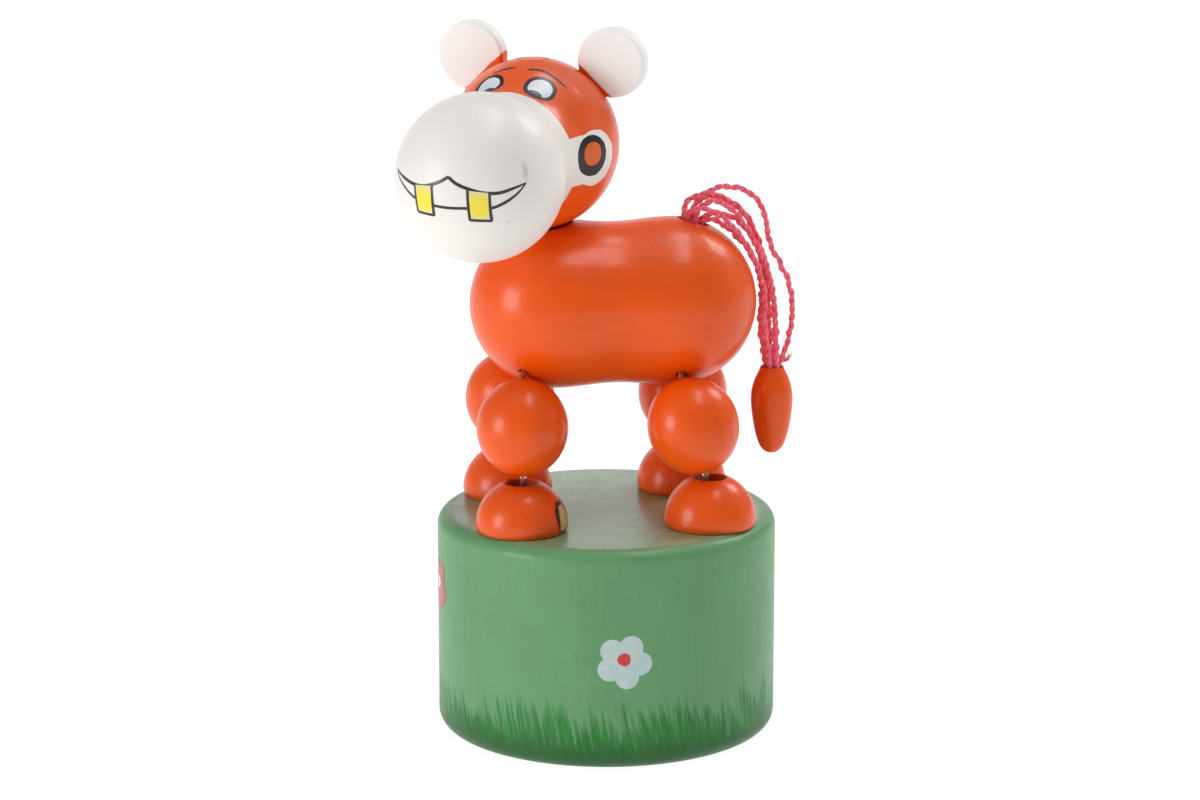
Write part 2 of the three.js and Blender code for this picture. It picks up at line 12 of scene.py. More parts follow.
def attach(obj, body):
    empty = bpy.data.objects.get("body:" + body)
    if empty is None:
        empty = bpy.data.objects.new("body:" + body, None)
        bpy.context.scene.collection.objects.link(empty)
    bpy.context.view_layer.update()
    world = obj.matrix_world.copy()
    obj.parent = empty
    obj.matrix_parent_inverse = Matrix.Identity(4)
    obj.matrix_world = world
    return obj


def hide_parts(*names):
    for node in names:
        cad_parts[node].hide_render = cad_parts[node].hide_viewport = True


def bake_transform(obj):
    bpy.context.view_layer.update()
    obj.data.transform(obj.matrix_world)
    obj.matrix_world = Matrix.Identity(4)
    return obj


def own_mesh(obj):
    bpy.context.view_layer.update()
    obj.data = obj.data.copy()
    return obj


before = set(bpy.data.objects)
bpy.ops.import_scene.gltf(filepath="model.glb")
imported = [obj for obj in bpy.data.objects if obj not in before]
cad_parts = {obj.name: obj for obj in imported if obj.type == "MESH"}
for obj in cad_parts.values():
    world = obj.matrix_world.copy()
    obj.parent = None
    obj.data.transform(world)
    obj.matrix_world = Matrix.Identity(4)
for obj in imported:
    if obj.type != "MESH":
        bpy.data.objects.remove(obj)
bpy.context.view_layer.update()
MM = 0.001
TURN = 2 * pi
DEG = pi / 180


def mm(x, y, z):
    """A place whose coordinates are given in millimetres."""
    return Vector((x, y, z)) * MM


# The camera, fitted to the photograph.
AZIMUTH = -7.5 * DEG
ELEVATION = 13.3 * DEG
DISTANCE = 592 * MM
LENS = 120.6
AIM = mm(-0.95, 0, 49.15)


def add_camera():
    flat = cos(ELEVATION)
    away = Vector((sin(AZIMUTH) * flat, -cos(AZIMUTH) * flat, sin(ELEVATION)))
    data = bpy.data.cameras.new("view")
    data.sensor_fit = "HORIZONTAL"
    data.sensor_width = 36
    data.lens = LENS
    data.clip_end = 20
    camera = bpy.data.objects.new("view", data)
    camera.location = AIM + away * DISTANCE
    camera.rotation_euler = away.to_track_quat("Z", "Y").to_euler()
    bpy.context.scene.collection.objects.link(camera)
    bpy.context.scene.camera = camera


add_camera()


# Materials.
def rgb(red, green, blue):
    """An sRGB colour in 0 to 255 as the linear colour that a shader takes."""
    shares = [v / 255 for v in (red, green, blue)]
    linear = [v / 12.92 if v <= 0.04045 else ((v + 0.055) / 1.055) ** 2.4 for v in shares]
    return (*linear, 1.0)


class Nodes:
    """A material under construction. Most methods add nodes and return the last one's output."""

    def __init__(self, name):
        self.material = bpy.data.materials.new(name)
        self.material.use_nodes = True
        self.tree = self.material.node_tree
        self.shader = self.tree.nodes["Principled BSDF"]
        self.place = self.make("ShaderNodeTexCoord").outputs["Object"]

    def make(self, kind, **settings):
        node = self.tree.nodes.new(kind)
        for key, value in settings.items():
            setattr(node, key, value)
        return node

    def put(self, socket, value):
        if isinstance(value, bpy.types.NodeSocket):
            self.tree.links.new(value, socket)
        else:
            socket.default_value = value

    def surface(self, **values):
        for key, value in values.items():
            self.put(self.shader.inputs[key.replace("_", " ")], value)

    def math(self, operation, *terms):
        node = self.make("ShaderNodeMath", operation=operation)
        for socket, value in zip(node.inputs, terms):
            self.put(socket, value)
        return node.outputs[0]

    plus = partialmethod(math, "ADD")
    minus = partialmethod(math, "SUBTRACT")
    times = partialmethod(math, "MULTIPLY")
    over = partialmethod(math, "DIVIDE")
    size = partialmethod(math, "ABSOLUTE")
    larger = partialmethod(math, "MAXIMUM")
    less = partialmethod(math, "LESS_THAN")
    more = partialmethod(math, "GREATER_THAN")

    def vector(self, operation, *terms):
        node = self.make("ShaderNodeVectorMath", operation=operation)
        for socket, value in zip(node.inputs, terms):
            self.put(socket, value)
        number = operation in ("DISTANCE", "LENGTH", "DOT_PRODUCT")
        return node.outputs["Value" if number else "Vector"]

    def off(self, point):
        """The place, counted from a point."""
        return self.vector("SUBTRACT", self.place, tuple(point))

    def apart(self, point, shares):
        """The distance from a point, in which each axis counts by its share."""
        return self.vector("LENGTH", self.vector("MULTIPLY", self.off(point), shares))

    def mix(self, share, first, second):
        node = self.make("ShaderNodeMix", data_type="RGBA")
        self.put(node.inputs[0], share)
        self.put(node.inputs[6], first)
        self.put(node.inputs[7], second)
        return node.outputs[2]

    def noise(self, scale, stretch=(1, 1, 1), detail=2.0):
        """Noise from 0 to 1. Scale is in features per millimetre, stretch divides it along an axis."""
        node = self.make("ShaderNodeTexNoise")
        node.inputs["Scale"].default_value = 1.0
        node.inputs["Detail"].default_value = detail
        placed = self.vector("MULTIPLY", self.place, tuple(scale / MM / s for s in stretch))
        self.put(node.inputs["Vector"], placed)
        return node.outputs[0]

    def wobble(self, scale, size):
        """A shift of up to half a size either way, which makes a paint edge uneven."""
        return self.times(self.minus(self.noise(scale, detail=1), 0.5), size)

    def ramp(self, value, low, high, to_low=0.0, to_high=1.0):
        node = self.make("ShaderNodeMapRange")
        node.inputs["From Min"].default_value = low
        node.inputs["From Max"].default_value = high
        node.inputs["To Min"].default_value = to_low
        node.inputs["To Max"].default_value = to_high
        self.put(node.inputs["Value"], value)
        return node.outputs[0]

    def spread(self, noise, low, high):
        """Noise spread from low to high."""
        return self.ramp(noise, 0.3, 0.7, low, high)

    def bump(self, height, distance, strength, below=None):
        node = self.make("ShaderNodeBump")
        node.inputs["Strength"].default_value = strength
        node.inputs["Distance"].default_value = distance
        self.put(node.inputs["Height"], height)
        if below is not None:
            self.put(node.inputs["Normal"], below)
        return node.outputs[0]

    def near(self, point, reach, wobble=None):
        """1 within reach of a point, with an uneven edge where a wobble is given."""
        distance = self.vector("DISTANCE", self.place, tuple(point))
        if wobble is not None:
            distance = self.plus(distance, wobble)
        return self.less(distance, reach)

    def linked(self, name):
        """What the shader's socket of that name is linked to."""
        return self.shader.inputs[name].links[0].from_socket


def worn_paint(nodes, colour, grain, rough=(0.32, 0.42), wear=1.0, gloss=0.25, coat=0.3):
    """Sprayed satin paint on turned wood: faint clouds, grain that shows through, a few specks."""
    cloud = nodes.noise(0.12, detail=3)
    streak = nodes.noise(1.1, grain, detail=4)
    speck = nodes.noise(0.9, detail=0)
    shade = nodes.plus(
        nodes.spread(cloud, 1 - 0.05 * wear, 1 + 0.05 * wear),
        nodes.spread(streak, -0.03 * wear, 0.03 * wear),
    )
    shade = nodes.minus(shade, nodes.ramp(speck, 0.83, 0.86, 0.0, 0.16 * wear))
    shaded = nodes.make("ShaderNodeVectorMath", operation="SCALE")
    nodes.put(shaded.inputs[0], colour if hasattr(colour, "node") else colour[:3])
    nodes.put(shaded.inputs["Scale"], shade)
    nodes.surface(
        Base_Color=shaded.outputs[0],
        Roughness=nodes.spread(nodes.noise(0.5, detail=4), *rough),
        Specular_IOR_Level=gloss,
        Coat_Weight=coat,
        Coat_Roughness=0.18,
    )
    relief = nodes.bump(streak, 0.03 * MM, 0.3 * wear)
    relief = nodes.bump(nodes.noise(2.6, detail=3), 0.06 * MM, 0.3 + 0.5 * wear, relief)
    nodes.surface(Normal=relief)


ORANGE = rgb(237, 86, 4)
WHITE = rgb(241, 237, 232)
GREEN = rgb(97, 152, 102)
GRASS = rgb(0, 102, 20)
INK = rgb(42, 30, 28)


def orange_paint(name, grain, eye=None, reach=0.0):
    """Orange, darker within reach of an upright line through eye: painted shade down the hole round
    the line.
    """
    nodes = Nodes(name)
    colour = ORANGE
    if eye is not None:
        off = nodes.apart(eye, (1, 1, 0))
        # Painted shade in the hole: dark brown in the middle, reddish out towards the reach.
        painted_hole_shade = nodes.mix(nodes.ramp(off, 0.5 * reach, reach), rgb(96, 32, 16), rgb(176, 62, 26))
        colour = nodes.mix(nodes.less(off, reach), ORANGE, painted_hole_shade)
    worn_paint(nodes, colour, grain)
    return nodes.material


def body_paint():
    """Orange, darker and rough without coat in the seat under the head: painted shade in the gap where
    the head sits.
    """
    nodes = Nodes("orange_turned_long")
    worn_paint(nodes, ORANGE, (14, 1, 1))
    paint = nodes.linked("Base Color")
    rough = nodes.linked("Roughness")
    seat = nodes.near(HEAD_AT * MM, (CRANIUM + SEAT_GAP + 0.06) * MM)
    # Painted shade: the seat under the head is painted dark brown-orange.
    nodes.surface(
        Base_Color=nodes.mix(seat, paint, rgb(166, 56, 20)),
        Roughness=nodes.larger(rough, seat),
        Coat_Weight=nodes.ramp(seat, 0, 1, 0.3, 0),
    )
    return nodes.material


def flat_paint(name, colour, second=None):
    """Hand-laid enamel in one colour that thins a little in places."""
    nodes = Nodes(name)
    cloud = nodes.ramp(nodes.noise(0.8, detail=3), 0.35, 0.7)
    nodes.surface(
        Base_Color=nodes.mix(cloud, colour, second or colour),
        Roughness=nodes.spread(nodes.noise(2.0), 0.29, 0.42),
        Coat_Weight=0.25,
        Coat_Roughness=0.18,
        Normal=nodes.bump(nodes.noise(2.4, detail=3), 0.04 * MM, 0.5),
    )
    return nodes.material


def bare_wood(name, grain, pale=rgb(222, 190, 140), dark=rgb(176, 132, 84)):
    nodes = Nodes(name)
    bands = nodes.noise(0.55, grain, detail=5)
    pores = nodes.noise(3.2, [1 + (s - 1) * 0.4 for s in grain], detail=3)
    tone = nodes.mix(nodes.ramp(bands, 0.35, 0.65), pale, dark)
    nodes.surface(
        Base_Color=nodes.mix(nodes.ramp(pores, 0.58, 0.7, 0, 0.45), tone, dark),
        Roughness=nodes.spread(bands, 0.5, 0.68),
        Normal=nodes.bump(pores, 0.12 * MM, 0.5),
    )
    return nodes.material


def spring_steel():
    nodes = Nodes("spring_steel")
    streak = nodes.noise(2.5, (1, 1, 0.3), detail=3)
    nodes.surface(
        Base_Color=nodes.mix(streak, rgb(190, 192, 196), rgb(134, 136, 142)),
        Metallic=1.0,
        Roughness=nodes.spread(streak, 0.18, 0.36),
        Normal=nodes.bump(streak, 0.02 * MM, 0.4),
    )
    return nodes.material


def nylon_line(name, pale, dark, rough, clear):
    nodes = Nodes(name)
    haze = nodes.noise(1.5, detail=2)
    nodes.surface(
        Base_Color=nodes.mix(haze, pale, dark),
        Roughness=nodes.spread(haze, *rough),
        Transmission_Weight=clear,
        IOR=1.53,
    )
    return nodes.material


def pink_yarn():
    nodes = Nodes("pink_yarn")
    fibre = nodes.noise(5.0, (1, 1, 3), detail=4)
    patch = nodes.noise(0.35, detail=2)
    tone = nodes.mix(nodes.ramp(patch, 0.35, 0.65), rgb(248, 58, 88), rgb(255, 92, 122))
    nodes.surface(
        Base_Color=nodes.mix(nodes.ramp(fibre, 0.46, 0.7, 0, 0.7), tone, rgb(255, 180, 196)),
        Roughness=nodes.spread(fibre, 0.55, 0.8),
        Sheen_Weight=0.6,
        Sheen_Roughness=0.5,
        Normal=nodes.bump(fibre, 0.12 * MM, 0.7),
    )
    return nodes.material


# Mesh code.
def smooth_by_angle(mesh):
    mesh.shade_smooth()
    mesh.set_sharp_from_angle(angle=32 * DEG)


def object_from(name, vertices, faces, material, matrix=None):
    mesh = bpy.data.meshes.new(name)
    mesh.from_pydata([tuple(v) for v in vertices], [], faces)
    edit = bmesh.new()
    edit.from_mesh(mesh)
    bmesh.ops.remove_doubles(edit, verts=edit.verts, dist=1e-7)
    bmesh.ops.recalc_face_normals(edit, faces=edit.faces)
    edit.to_mesh(mesh)
    edit.free()
    smooth_by_angle(mesh)
    mesh.materials.append(material)
    if matrix is not None:
        mesh.transform(matrix)
    made = bpy.data.objects.new(name, mesh)
    bpy.context.scene.collection.objects.link(made)
    return made


def on_circle(radius, angle):
    """A point on a circle about the origin, as a pair. The angle is in radians."""
    return (radius * cos(angle), radius * sin(angle))


def skin(rings, sides, ends=True):
    """Faces of a tube of rings of points, closed at both ends if ends is true."""
    faces = []
    for low in range(0, (rings - 1) * sides, sides):
        for k in range(sides):
            j = (k + 1) % sides
            faces.append((low + k, low + j, low + sides + j, low + sides + k))
    if ends:
        faces.append(tuple(range(sides)))
        faces.append(tuple(range((rings - 1) * sides, rings * sides)))
    return faces


# The shapes made by turned and fill have equal points, which object_from joins.
def turned(profile, segments):
    """A profile of (radius, height) in millimetres turned about Z."""
    vertices = []
    for radius, height in profile:
        for i in range(segments):
            vertices.append(mm(*on_circle(radius, TURN * i / segments), height))
    return vertices, skin(len(profile), segments, ends=False)


def arc(centre_r, centre_z, radius, start, stop, steps):
    """Points on an arc in the profile plane. Angles are in degrees from the radius axis."""
    points = []
    for i in range(steps + 1):
        a = (start + (stop - start) * i / steps) * DEG
        r = centre_r + radius * cos(a)
        points.append((max(r, 0.0), centre_z + radius * sin(a)))
    return points


def shift(x, y, z):
    return Matrix.Translation(mm(x, y, z))


def along(start, way):
    """A frame at start, in millimetres, whose Z runs along way."""
    turn = Vector(way).to_track_quat("Z", "Y")
    return Matrix.LocRotScale(Vector(start) * MM, turn, None)


def drill(radius, start, stop, segments=32):
    way = Vector(stop) - Vector(start)
    profile = [(0, 0), (radius, 0), (radius, way.length), (0, way.length)]
    return object_from("drill", *turned(profile, segments), None, along(start, way))


def cut(target, cutters):
    """Takes the cutters out of the target and out of the scene."""
    for cutter in cutters:
        step = target.modifiers.new("cut", "BOOLEAN")
        step.operation = "DIFFERENCE"
        step.solver = "EXACT"
        step.object = cutter
    bpy.context.view_layer.update()
    graph = bpy.context.evaluated_depsgraph_get()
    mesh = bpy.data.meshes.new_from_object(target.evaluated_get(graph))
    target.modifiers.clear()
    target.data = mesh
    while len(mesh.materials) > 1:
        mesh.materials.pop(index=1)
    mesh.polygons.foreach_set("material_index", [0] * len(mesh.polygons))
    smooth_by_angle(mesh)
    for cutter in cutters:
        bpy.data.objects.remove(cutter)


def finish_piece(obj, body, slot, *nodes):
    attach(obj, body)
    if nodes:
        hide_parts(*nodes)
    return obj


def add_piece(name, shape, material, body, slot, *nodes, matrix=None):
    """An object from the vertices and faces of a shape, attached to its body with the given model
    parts hidden.
    """
    return finish_piece(object_from(name, *shape, material, matrix), body, slot, *nodes)


def at_time(t, first, p, last, q):
    """Where a steady move from p at the first time to q at the last is at time t."""
    return p * ((last - t) / (last - first)) + q * ((t - first) / (last - first))


def curve_through(points, per_span):
    """A centripetal Catmull-Rom curve through points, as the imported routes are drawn."""
    pts = [Vector(p) for p in points]
    pts = [2 * pts[0] - pts[1], *pts, 2 * pts[-1] - pts[-2]]
    out = []
    for i in range(1, len(pts) - 2):
        p0, p1, p2, p3 = pts[i - 1 : i + 3]
        t0 = 0.0
        t1 = t0 + (p1 - p0).length ** 0.5
        t2 = t1 + (p2 - p1).length ** 0.5
        t3 = t2 + (p3 - p2).length ** 0.5
        for k in range(per_span):
            t = t1 + (t2 - t1) * k / per_span
            a1 = at_time(t, t0, p0, t1, p1)
            a2 = at_time(t, t1, p1, t2, p2)
            a3 = at_time(t, t2, p2, t3, p3)
            b1 = at_time(t, t0, a1, t2, a2)
            b2 = at_time(t, t1, a2, t3, a3)
            out.append(at_time(t, t1, b1, t2, b2))
    out.append(pts[-2])
    return out


def evenly(points, spacing):
    """Points at an even spacing along a polyline."""
    pts = np.array([tuple(p) for p in points])
    steps = np.linalg.norm(np.diff(pts, axis=0), axis=1)
    run = np.concatenate([[0], np.cumsum(steps)])
    count = max(2, int(round(run[-1] / spacing)) + 1)
    wanted = np.linspace(0, run[-1], count)
    return [Vector([np.interp(w, run, pts[:, k]) for k in range(3)]) for w in wanted]


def ways_along(points):
    """The direction of a line at each of its points."""
    last = len(points) - 1
    return [(points[min(i + 1, last)] - points[max(i - 1, 0)]).normalized() for i in range(last + 1)]


def frames_along(points):
    """At each point the way and two directions across it that turn as little as they can."""
    frames = []
    side = None
    for way in ways_along(points):
        side = way.orthogonal() if side is None else side - way * side.dot(way)
        side.normalize()
        frames.append((way, side.copy(), way.cross(side)))
    return frames


def tube(points, radii, sides):
    """A tube along points, closed at both ends, with a radius for each point."""
    vertices = []
    for point, radius, (_, side, other) in zip(points, radii, frames_along(points)):
        for k in range(sides):
            a = TURN * k / sides
            vertices.append(point + (side * cos(a) + other * sin(a)) * radius)
    return vertices, skin(len(points), sides)


def join(parts):
    """One shape from several, which stay separate surfaces."""
    vertices = []
    faces = []
    for more, loops in parts:
        start = len(vertices)
        vertices.extend(more)
        faces.extend([tuple(start + i for i in loop) for loop in loops])
    return vertices, faces


# Paint marks: thin closed skins of enamel that lie on a turned surface.
LIFT = 0.035
SINK = 0.05


def on_ball(centre, radius):
    """A function that puts a point on a ball, raised by a lift, all in millimetres."""
    centre = Vector(centre)

    def put(point, lift):
        return centre + (Vector(point) - centre).normalized() * (radius + lift)

    return put


def on_drum(radius):
    """The same for an upright drum about the middle of the base."""

    def put(point, lift):
        flat = Vector((point[0], point[1], 0)).normalized() * (radius + lift)
        return Vector((flat.x, flat.y, point[2]))

    return put


def stroke(put, points, widths, lift=LIFT):
    """A brush stroke through points, whose width runs through the list of widths."""
    line = evenly(curve_through([put(p, 0) for p in points], 12), 0.2)
    shares = np.linspace(0, 1, len(line))
    wide = np.interp(shares, np.linspace(0, 1, len(widths)), widths)
    section = ((-1, -SINK), (-1, lift * 0.7), (0, lift), (1, lift * 0.7), (1, -SINK))
    vertices = []
    for point, way, width in zip(line, ways_along(line), wide):
        out = (put(point, 1) - put(point, 0)).normalized()
        across = way.cross(out) * (width / 2)
        for reach, level in section:
            vertices.append(put(point + across * reach, level) * MM)
    return vertices, skin(len(line), len(section))


def subdivided(corners, count):
    """Pairs along the sides of a closed outline, as many to a side as count says."""
    out = []
    for (a0, b0), (a1, b1) in zip(corners, corners[1:] + corners[:1]):
        for k in range(count):
            out.append((a0 + (a1 - a0) * k / count, b0 + (b1 - b0) * k / count))
    return out


def fill(put, outline, lift=LIFT, rings=6):
    """A filled mark inside a closed outline that its middle point sees all of."""
    middle = sum((Vector(p) for p in outline), Vector()) / len(outline)
    shares = [ring / rings for ring in range(rings + 1)]
    layers = [(share, lift) for share in shares] + [(share, -SINK) for share in shares[::-1]]
    vertices = []
    for share, level in layers:
        for p in outline:
            vertices.append(put(middle.lerp(Vector(p), share), level) * MM)
    return vertices, skin(len(layers), len(outline), ends=False)


# Sizes in millimetres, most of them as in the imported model.
BASE_R = 25
BASE_H = 32.7
DECK_UNDER = 25.2
CAVITY = 19.6
MOUTH = 0.8
# Roundings of the base: round its foot, round its deck and inside it.
FOOT_EDGE = 2.5
DECK_EDGE = 2
CORNER = 1.5
# A ring on the flat deck that keeps its edge's shading off its middle.
DECK_RING = 12
BUTTON_R = 19
BUTTON_FACE = 0.5
BUTTON_TOP = 7
BOSS_R = 6.8
BOSS_TOP = 9.5
POCKET_TOP = 3
FOOT_R = 6.7
FOOT_HALF = 6.8
FOOT_CENTRE = 0.8
FLARE_FROM = 3.2
FLARE = 2.5
LINE_BORE = 0.8
LEG_R = 6.65
LEG_HALF = 7.15
LEG_INWARD = 0.3
BODY_R = 12.37
BODY_FRONT = -7.7
BODY_REAR = 9.7
BODY_AXIS = 63.892
TAIL_X = 12.8
TAIL_SHELF = BODY_AXIS + 5.1
HEAD_AT = Vector((-10.71, 0, BODY_AXIS + 23.75))
CRANIUM = 12.5
SEAT_GAP = 0.35
MUZZLE = 12
WAIST = 9.6
WAIST_AT = 11
EAR_R = 5.1
EAR_HALF = 1.3
EAR_ROUND = 0.55
EAR_SLOT = 0.15
EAR_AT = (10.88, 11.56, -4.8)
LINE_R = 0.45
SPRING_R = 8
SPRING_WIRE = 0.45
SPRING_TURNS = 7
SPRING_CLOSED = 1.3
PLUG_R = 2.18
PLUG_FROM = 4.4
# Radii of the holes.
DECK_BORE = 1.2
BUTTON_BORE = 0.9
POCKET = 2.2
NECK_BORE = 1.4
TAIL_BORE = 2.4
CHAMBER = 2.3
# Each knot's radius, height and half thickness.
BUTTON_KNOT = (1.5, 1.9, 0.46)
BEAD_KNOT = (1.5, 1.8, 0.42)
REAR_KNOT = (1.9, 2.1, 0.5)
TAIL_KNOT = (1.98, 1.4, 0.5)
HEAD_KNOT = (1.9, 3.1, 0.5)

# Each foot's place, and how far its leg ball is from there.
LEGS = {
    "front_left": ((-13.8, -10.6), (0.25, 0.85, 15.05)),
    "front_right": ((-13.5, 10.8), (0.3, -1.05, 15)),
    "rear_left": ((13.8, -11.1), (-2.5, 0.5, 14.7)),
    "rear_right": ((12.9, 11.1), (0.1, -0.25, 14.8)),
}
ANCHOR_SHARE = 0.8


class Leg:
    """Where one leg's pieces and its line lie, in millimetres."""

    def __init__(self, name):
        self.name = name
        self.front = name.startswith("front")
        self.foot, offset = LEGS[name]
        self.anchor = tuple(v * ANCHOR_SHARE for v in self.foot)
        self.foot_point = Vector((*self.foot, BASE_H + FLARE_FROM))
        self.ball = Vector((*self.foot, BASE_H)) + Vector(offset)
        side = copysign(1, self.foot[1])
        way = (self.ball - self.foot_point).normalized()
        self.way = Vector((way.x, -side * LEG_INWARD, way.z)).normalized()
        inside = Vector((min(max(self.ball.x, BODY_FRONT), BODY_REAR), 0, BODY_AXIS))
        out = (self.ball + self.way * LEG_HALF - inside).normalized()
        self.mouth = inside + out * BODY_R
        self.to = Vector((HEAD_AT.x if self.front else TAIL_X, side * 0.65, BODY_AXIS + 2.8))


legs = [Leg(name) for name in LEGS]
grain_up = (1, 1, 14)
orange_up = orange_paint("orange_turned_upright", grain_up)
orange_long = body_paint()
nylon = nylon_line("clear_nylon", rgb(240, 236, 230), rgb(222, 212, 200), (0.03, 0.1), 0.96)
# The hip stretches of clear line are painted a rough orange: painted reflection of the shaded orange
# body round them.
nylon_painted_reflection = nylon_line("nylon_painted_reflection", rgb(214, 80, 30), rgb(190, 64, 24), (0.4, 0.55), 0.2)
yarn = pink_yarn()
button_wood = bare_wood("button_beech", (9, 1, 1))
pin_wood = bare_wood("dowel_birch", (1, 1, 5), rgb(226, 200, 158), rgb(190, 150, 104))
ink_paint = flat_paint("ink_enamel", INK, rgb(30, 20, 20))


# Tail threads: two plies each, twisted, from the hole in the rump to the bead's knot.
RING = 1.25
BEAD_RING = 1
BEAD_X = 24.7
THREAD_FROM = BODY_AXIS + 9.3
BEAD_TOP = BODY_AXIS - 10.4
BEAD_HEIGHT = 13.1
BEAD_R = 3.1
BEAD_BORE = 1.6
BEAD_DEPTH = 4.4
THREAD_END = BEAD_TOP - 2.3
THREAD_D = 0.9
PITCH = 2.5
SPACING = 0.26
# How far the plies lie off the middle, and their radius, as shares of a thread's radius.
PLY_OFF = 0.42
PLY_R = 0.61
FIBRES = 46
# Each thread: its places round the two holes in degrees, where None is the middle, and its points
# between them, with heights above the body's axis.
THREADS = [
    (90, 60, [(13.3, 1.35, 13.8), (15.6, 1.3, 15.3), (18.2, 1.3, 14.3), (20.6, 1.25, 12.4),
              (22.3, 1.2, 9.4), (23.6, 1.1, 5.4), (24.6, 1.0, 1.1), (25.2, 1.0, -3.9)]),
    (270, 300, [(13.5, -1.3, 13.8), (15.6, -1.3, 14.9), (18.2, -1.3, 13.6), (21.0, -1.2, 10),
                (23.3, -1.0, 5.5), (24.6, -0.9, 0.6), (25.0, -0.9, -3.9)]),
    (210, 240, [(11.9, -1.7, 13.4), (13.7, -2.6, 14.0), (16.4, -2.6, 12.9), (19.0, -2.4, 10.3),
                (21.4, -2.1, 6.5), (23.0, -1.8, 1.9), (23.3, -1.6, -3.9)]),
    (150, 120, [(11.8, 1.8, 13.7), (13.8, 2.7, 15), (17.2, 2.7, 14.7), (20.4, 2.5, 12.7),
                (22.5, 2.2, 8.5), (23.6, 1.9, 2.7), (23.9, 1.7, -3.9)]),
    (30, None, [(14.6, 0.5, 12.4), (16.9, 0.35, 12.7), (19.4, 0.2, 11.6), (21.7, 0.1, 8.8),
                (23.3, 0.1, 4.7), (24.0, 0.1, 0.5), (24.2, 0.1, -3.9)]),
    (330, 180, [(14.9, -0.85, 12.1), (16.6, -0.95, 11.6), (19.2, -0.85, 9.4),
                (21.7, -0.7, 6), (22.9, -0.5, 1.7), (22.8, -0.2, -3.9)]),
    (None, 0, [(13.0, 0, 14.2), (15.0, 0, 16.1), (18.3, -0.1, 16.7), (21.3, -0.2, 15.6),
               (23.1, -0.2, 13.2), (23.7, -0.1, 10.6), (24.2, 0, 8.1), (25.6, 0, 5.4),
               (27.0, 0, 2.4), (27.6, 0, -1.0), (27.4, 0, -4.8), (26.5, 0, -8.3)]),
]


def ring_place(x, radius, degrees):
    """A place in the hole at x, at an angle round its middle, or in the middle for None."""
    if degrees is None:
        return (x, 0.0)
    across, y = on_circle(radius, degrees * DEG)
    return (x + across, y)


def thread_route(start, finish, way):
    first = ring_place(TAIL_X, RING, start)
    last = ring_place(BEAD_X, BEAD_RING, finish)
    return [
        (*first, THREAD_FROM),
        (*first, THREAD_FROM + 1.1),
        (*first, THREAD_FROM + 2.2),
        *[(x, y, z + BODY_AXIS) for x, y, z in way],
        (*last, BEAD_TOP + 0.1),
        (*last, BEAD_TOP - 1.3),
        (*last, THREAD_END),
    ]


def kinked(centre, size, seed):
    """The centre line with the small uneven waves of worn yarn, none at its ends."""
    last = len(centre) - 1
    out = []
    for i, (_, side, other) in enumerate(frames_along(centre)):
        run = i * SPACING
        fade = min(1, 5 * i / last, 5 * (last - i) / last)
        wave = sin(run / 0.42 + seed) + 0.6 * sin(run / 0.27 + 2.3 * seed)
        swing = cos(run / 0.5 + 1.7 * seed)
        out.append(centre[i] + (side * wave + other * swing) * size * fade)
    return out


def plies(centre, half, seed):
    """Two soft plies twisted round a centre line, with loose fibres that stand off them."""
    frames = frames_along(centre)
    random = np.random.default_rng(seed)
    parts = []
    for k in (0, 1):
        strand = []
        widths = []
        for i, (_, side, other) in enumerate(frames):
            run = i * SPACING
            a = seed + TURN * run / PITCH + k * pi
            off = side * cos(a) + other * sin(a)
            strand.append(centre[i] + off * half * PLY_OFF)
            widths.append(half * (PLY_R + 0.07 * sin(run * 3.1 + seed + k)))
        parts.append(tube(strand, widths, 7))
    for _ in range(FIBRES):
        i = int(random.integers(6, len(centre) - 6))
        way, side, other = frames[i]
        a = random.uniform(0, TURN)
        off = side * cos(a) + other * sin(a)
        reach = random.uniform(0.35, 0.75) * MM
        bend = way * random.choice((-1, 1)) * reach
        start = centre[i] + off * half * 0.7
        path = [start, start + off * reach * 0.3 + bend * 0.5, start + off * reach * 0.5 + bend]
        parts.append(tube(path, [0.04 * MM, 0.03 * MM, 0.015 * MM], 3))
    return parts


def trefoil(centre, radius, height, half):
    """A small tied knot of a cord with the given half thickness, which fills a radius and a height."""
    steps = 60
    loop = []
    flat = (radius - half) / 3
    for i in range(steps):
        t = TURN * i / steps
        x = centre[0] + flat * (sin(t) + 2 * sin(2 * t))
        y = centre[1] + flat * (cos(t) - 2 * cos(2 * t))
        z = centre[2] - (height / 2 - half) * sin(3 * t)
        loop.append(mm(x, y, z))
    loop.append(loop[0])
    return tube(loop, [half * MM] * len(loop), 8)


# The bead's outline from its foot up, in shares of its radius and its height.
BEAD_SHAPE = [
    (0, 0), (0.29, 0.015), (0.54, 0.076), (0.72, 0.183), (0.86, 0.32), (0.957, 0.473),
    (1, 0.626), (0.975, 0.72), (0.9, 0.8), (0.8, 0.87), (0.68, 0.93), (0.6, 0.97), (0.56, 1),
]


def rounded_profile(points, per_span):
    """A smooth outline through the (radius, height) pairs of a coarser one."""
    line = curve_through([(r, 0, z) for r, z in points], per_span)
    return [(max(p.x, 0.0), p.z) for p in line]


def add_bead():
    """The teardrop at the tail's end and the knot inside it."""
    under = BEAD_TOP - BEAD_HEIGHT
    shape = [(r * BEAD_R, under + z * BEAD_HEIGHT) for r, z in BEAD_SHAPE]
    profile = [
        (0, shape[0][1]), *rounded_profile(shape, 6)[1:], (BEAD_BORE, BEAD_TOP - 0.05),
        (BEAD_BORE, BEAD_TOP - BEAD_DEPTH), (0, BEAD_TOP - BEAD_DEPTH),
    ]
    bead = add_piece(
        "tail_bead_teardrop", turned(profile, 72), orange_up,
        "bead", "orange_paint", "tail_bead", matrix=shift(BEAD_X, 0, 0),
    )
    tied = trefoil((BEAD_X, 0, THREAD_END - 0.9), *BEAD_KNOT)
    knot = add_piece("bead_end_knot", tied, yarn, "bead", "pink_yarn", "bead_knot")
    return bead, knot


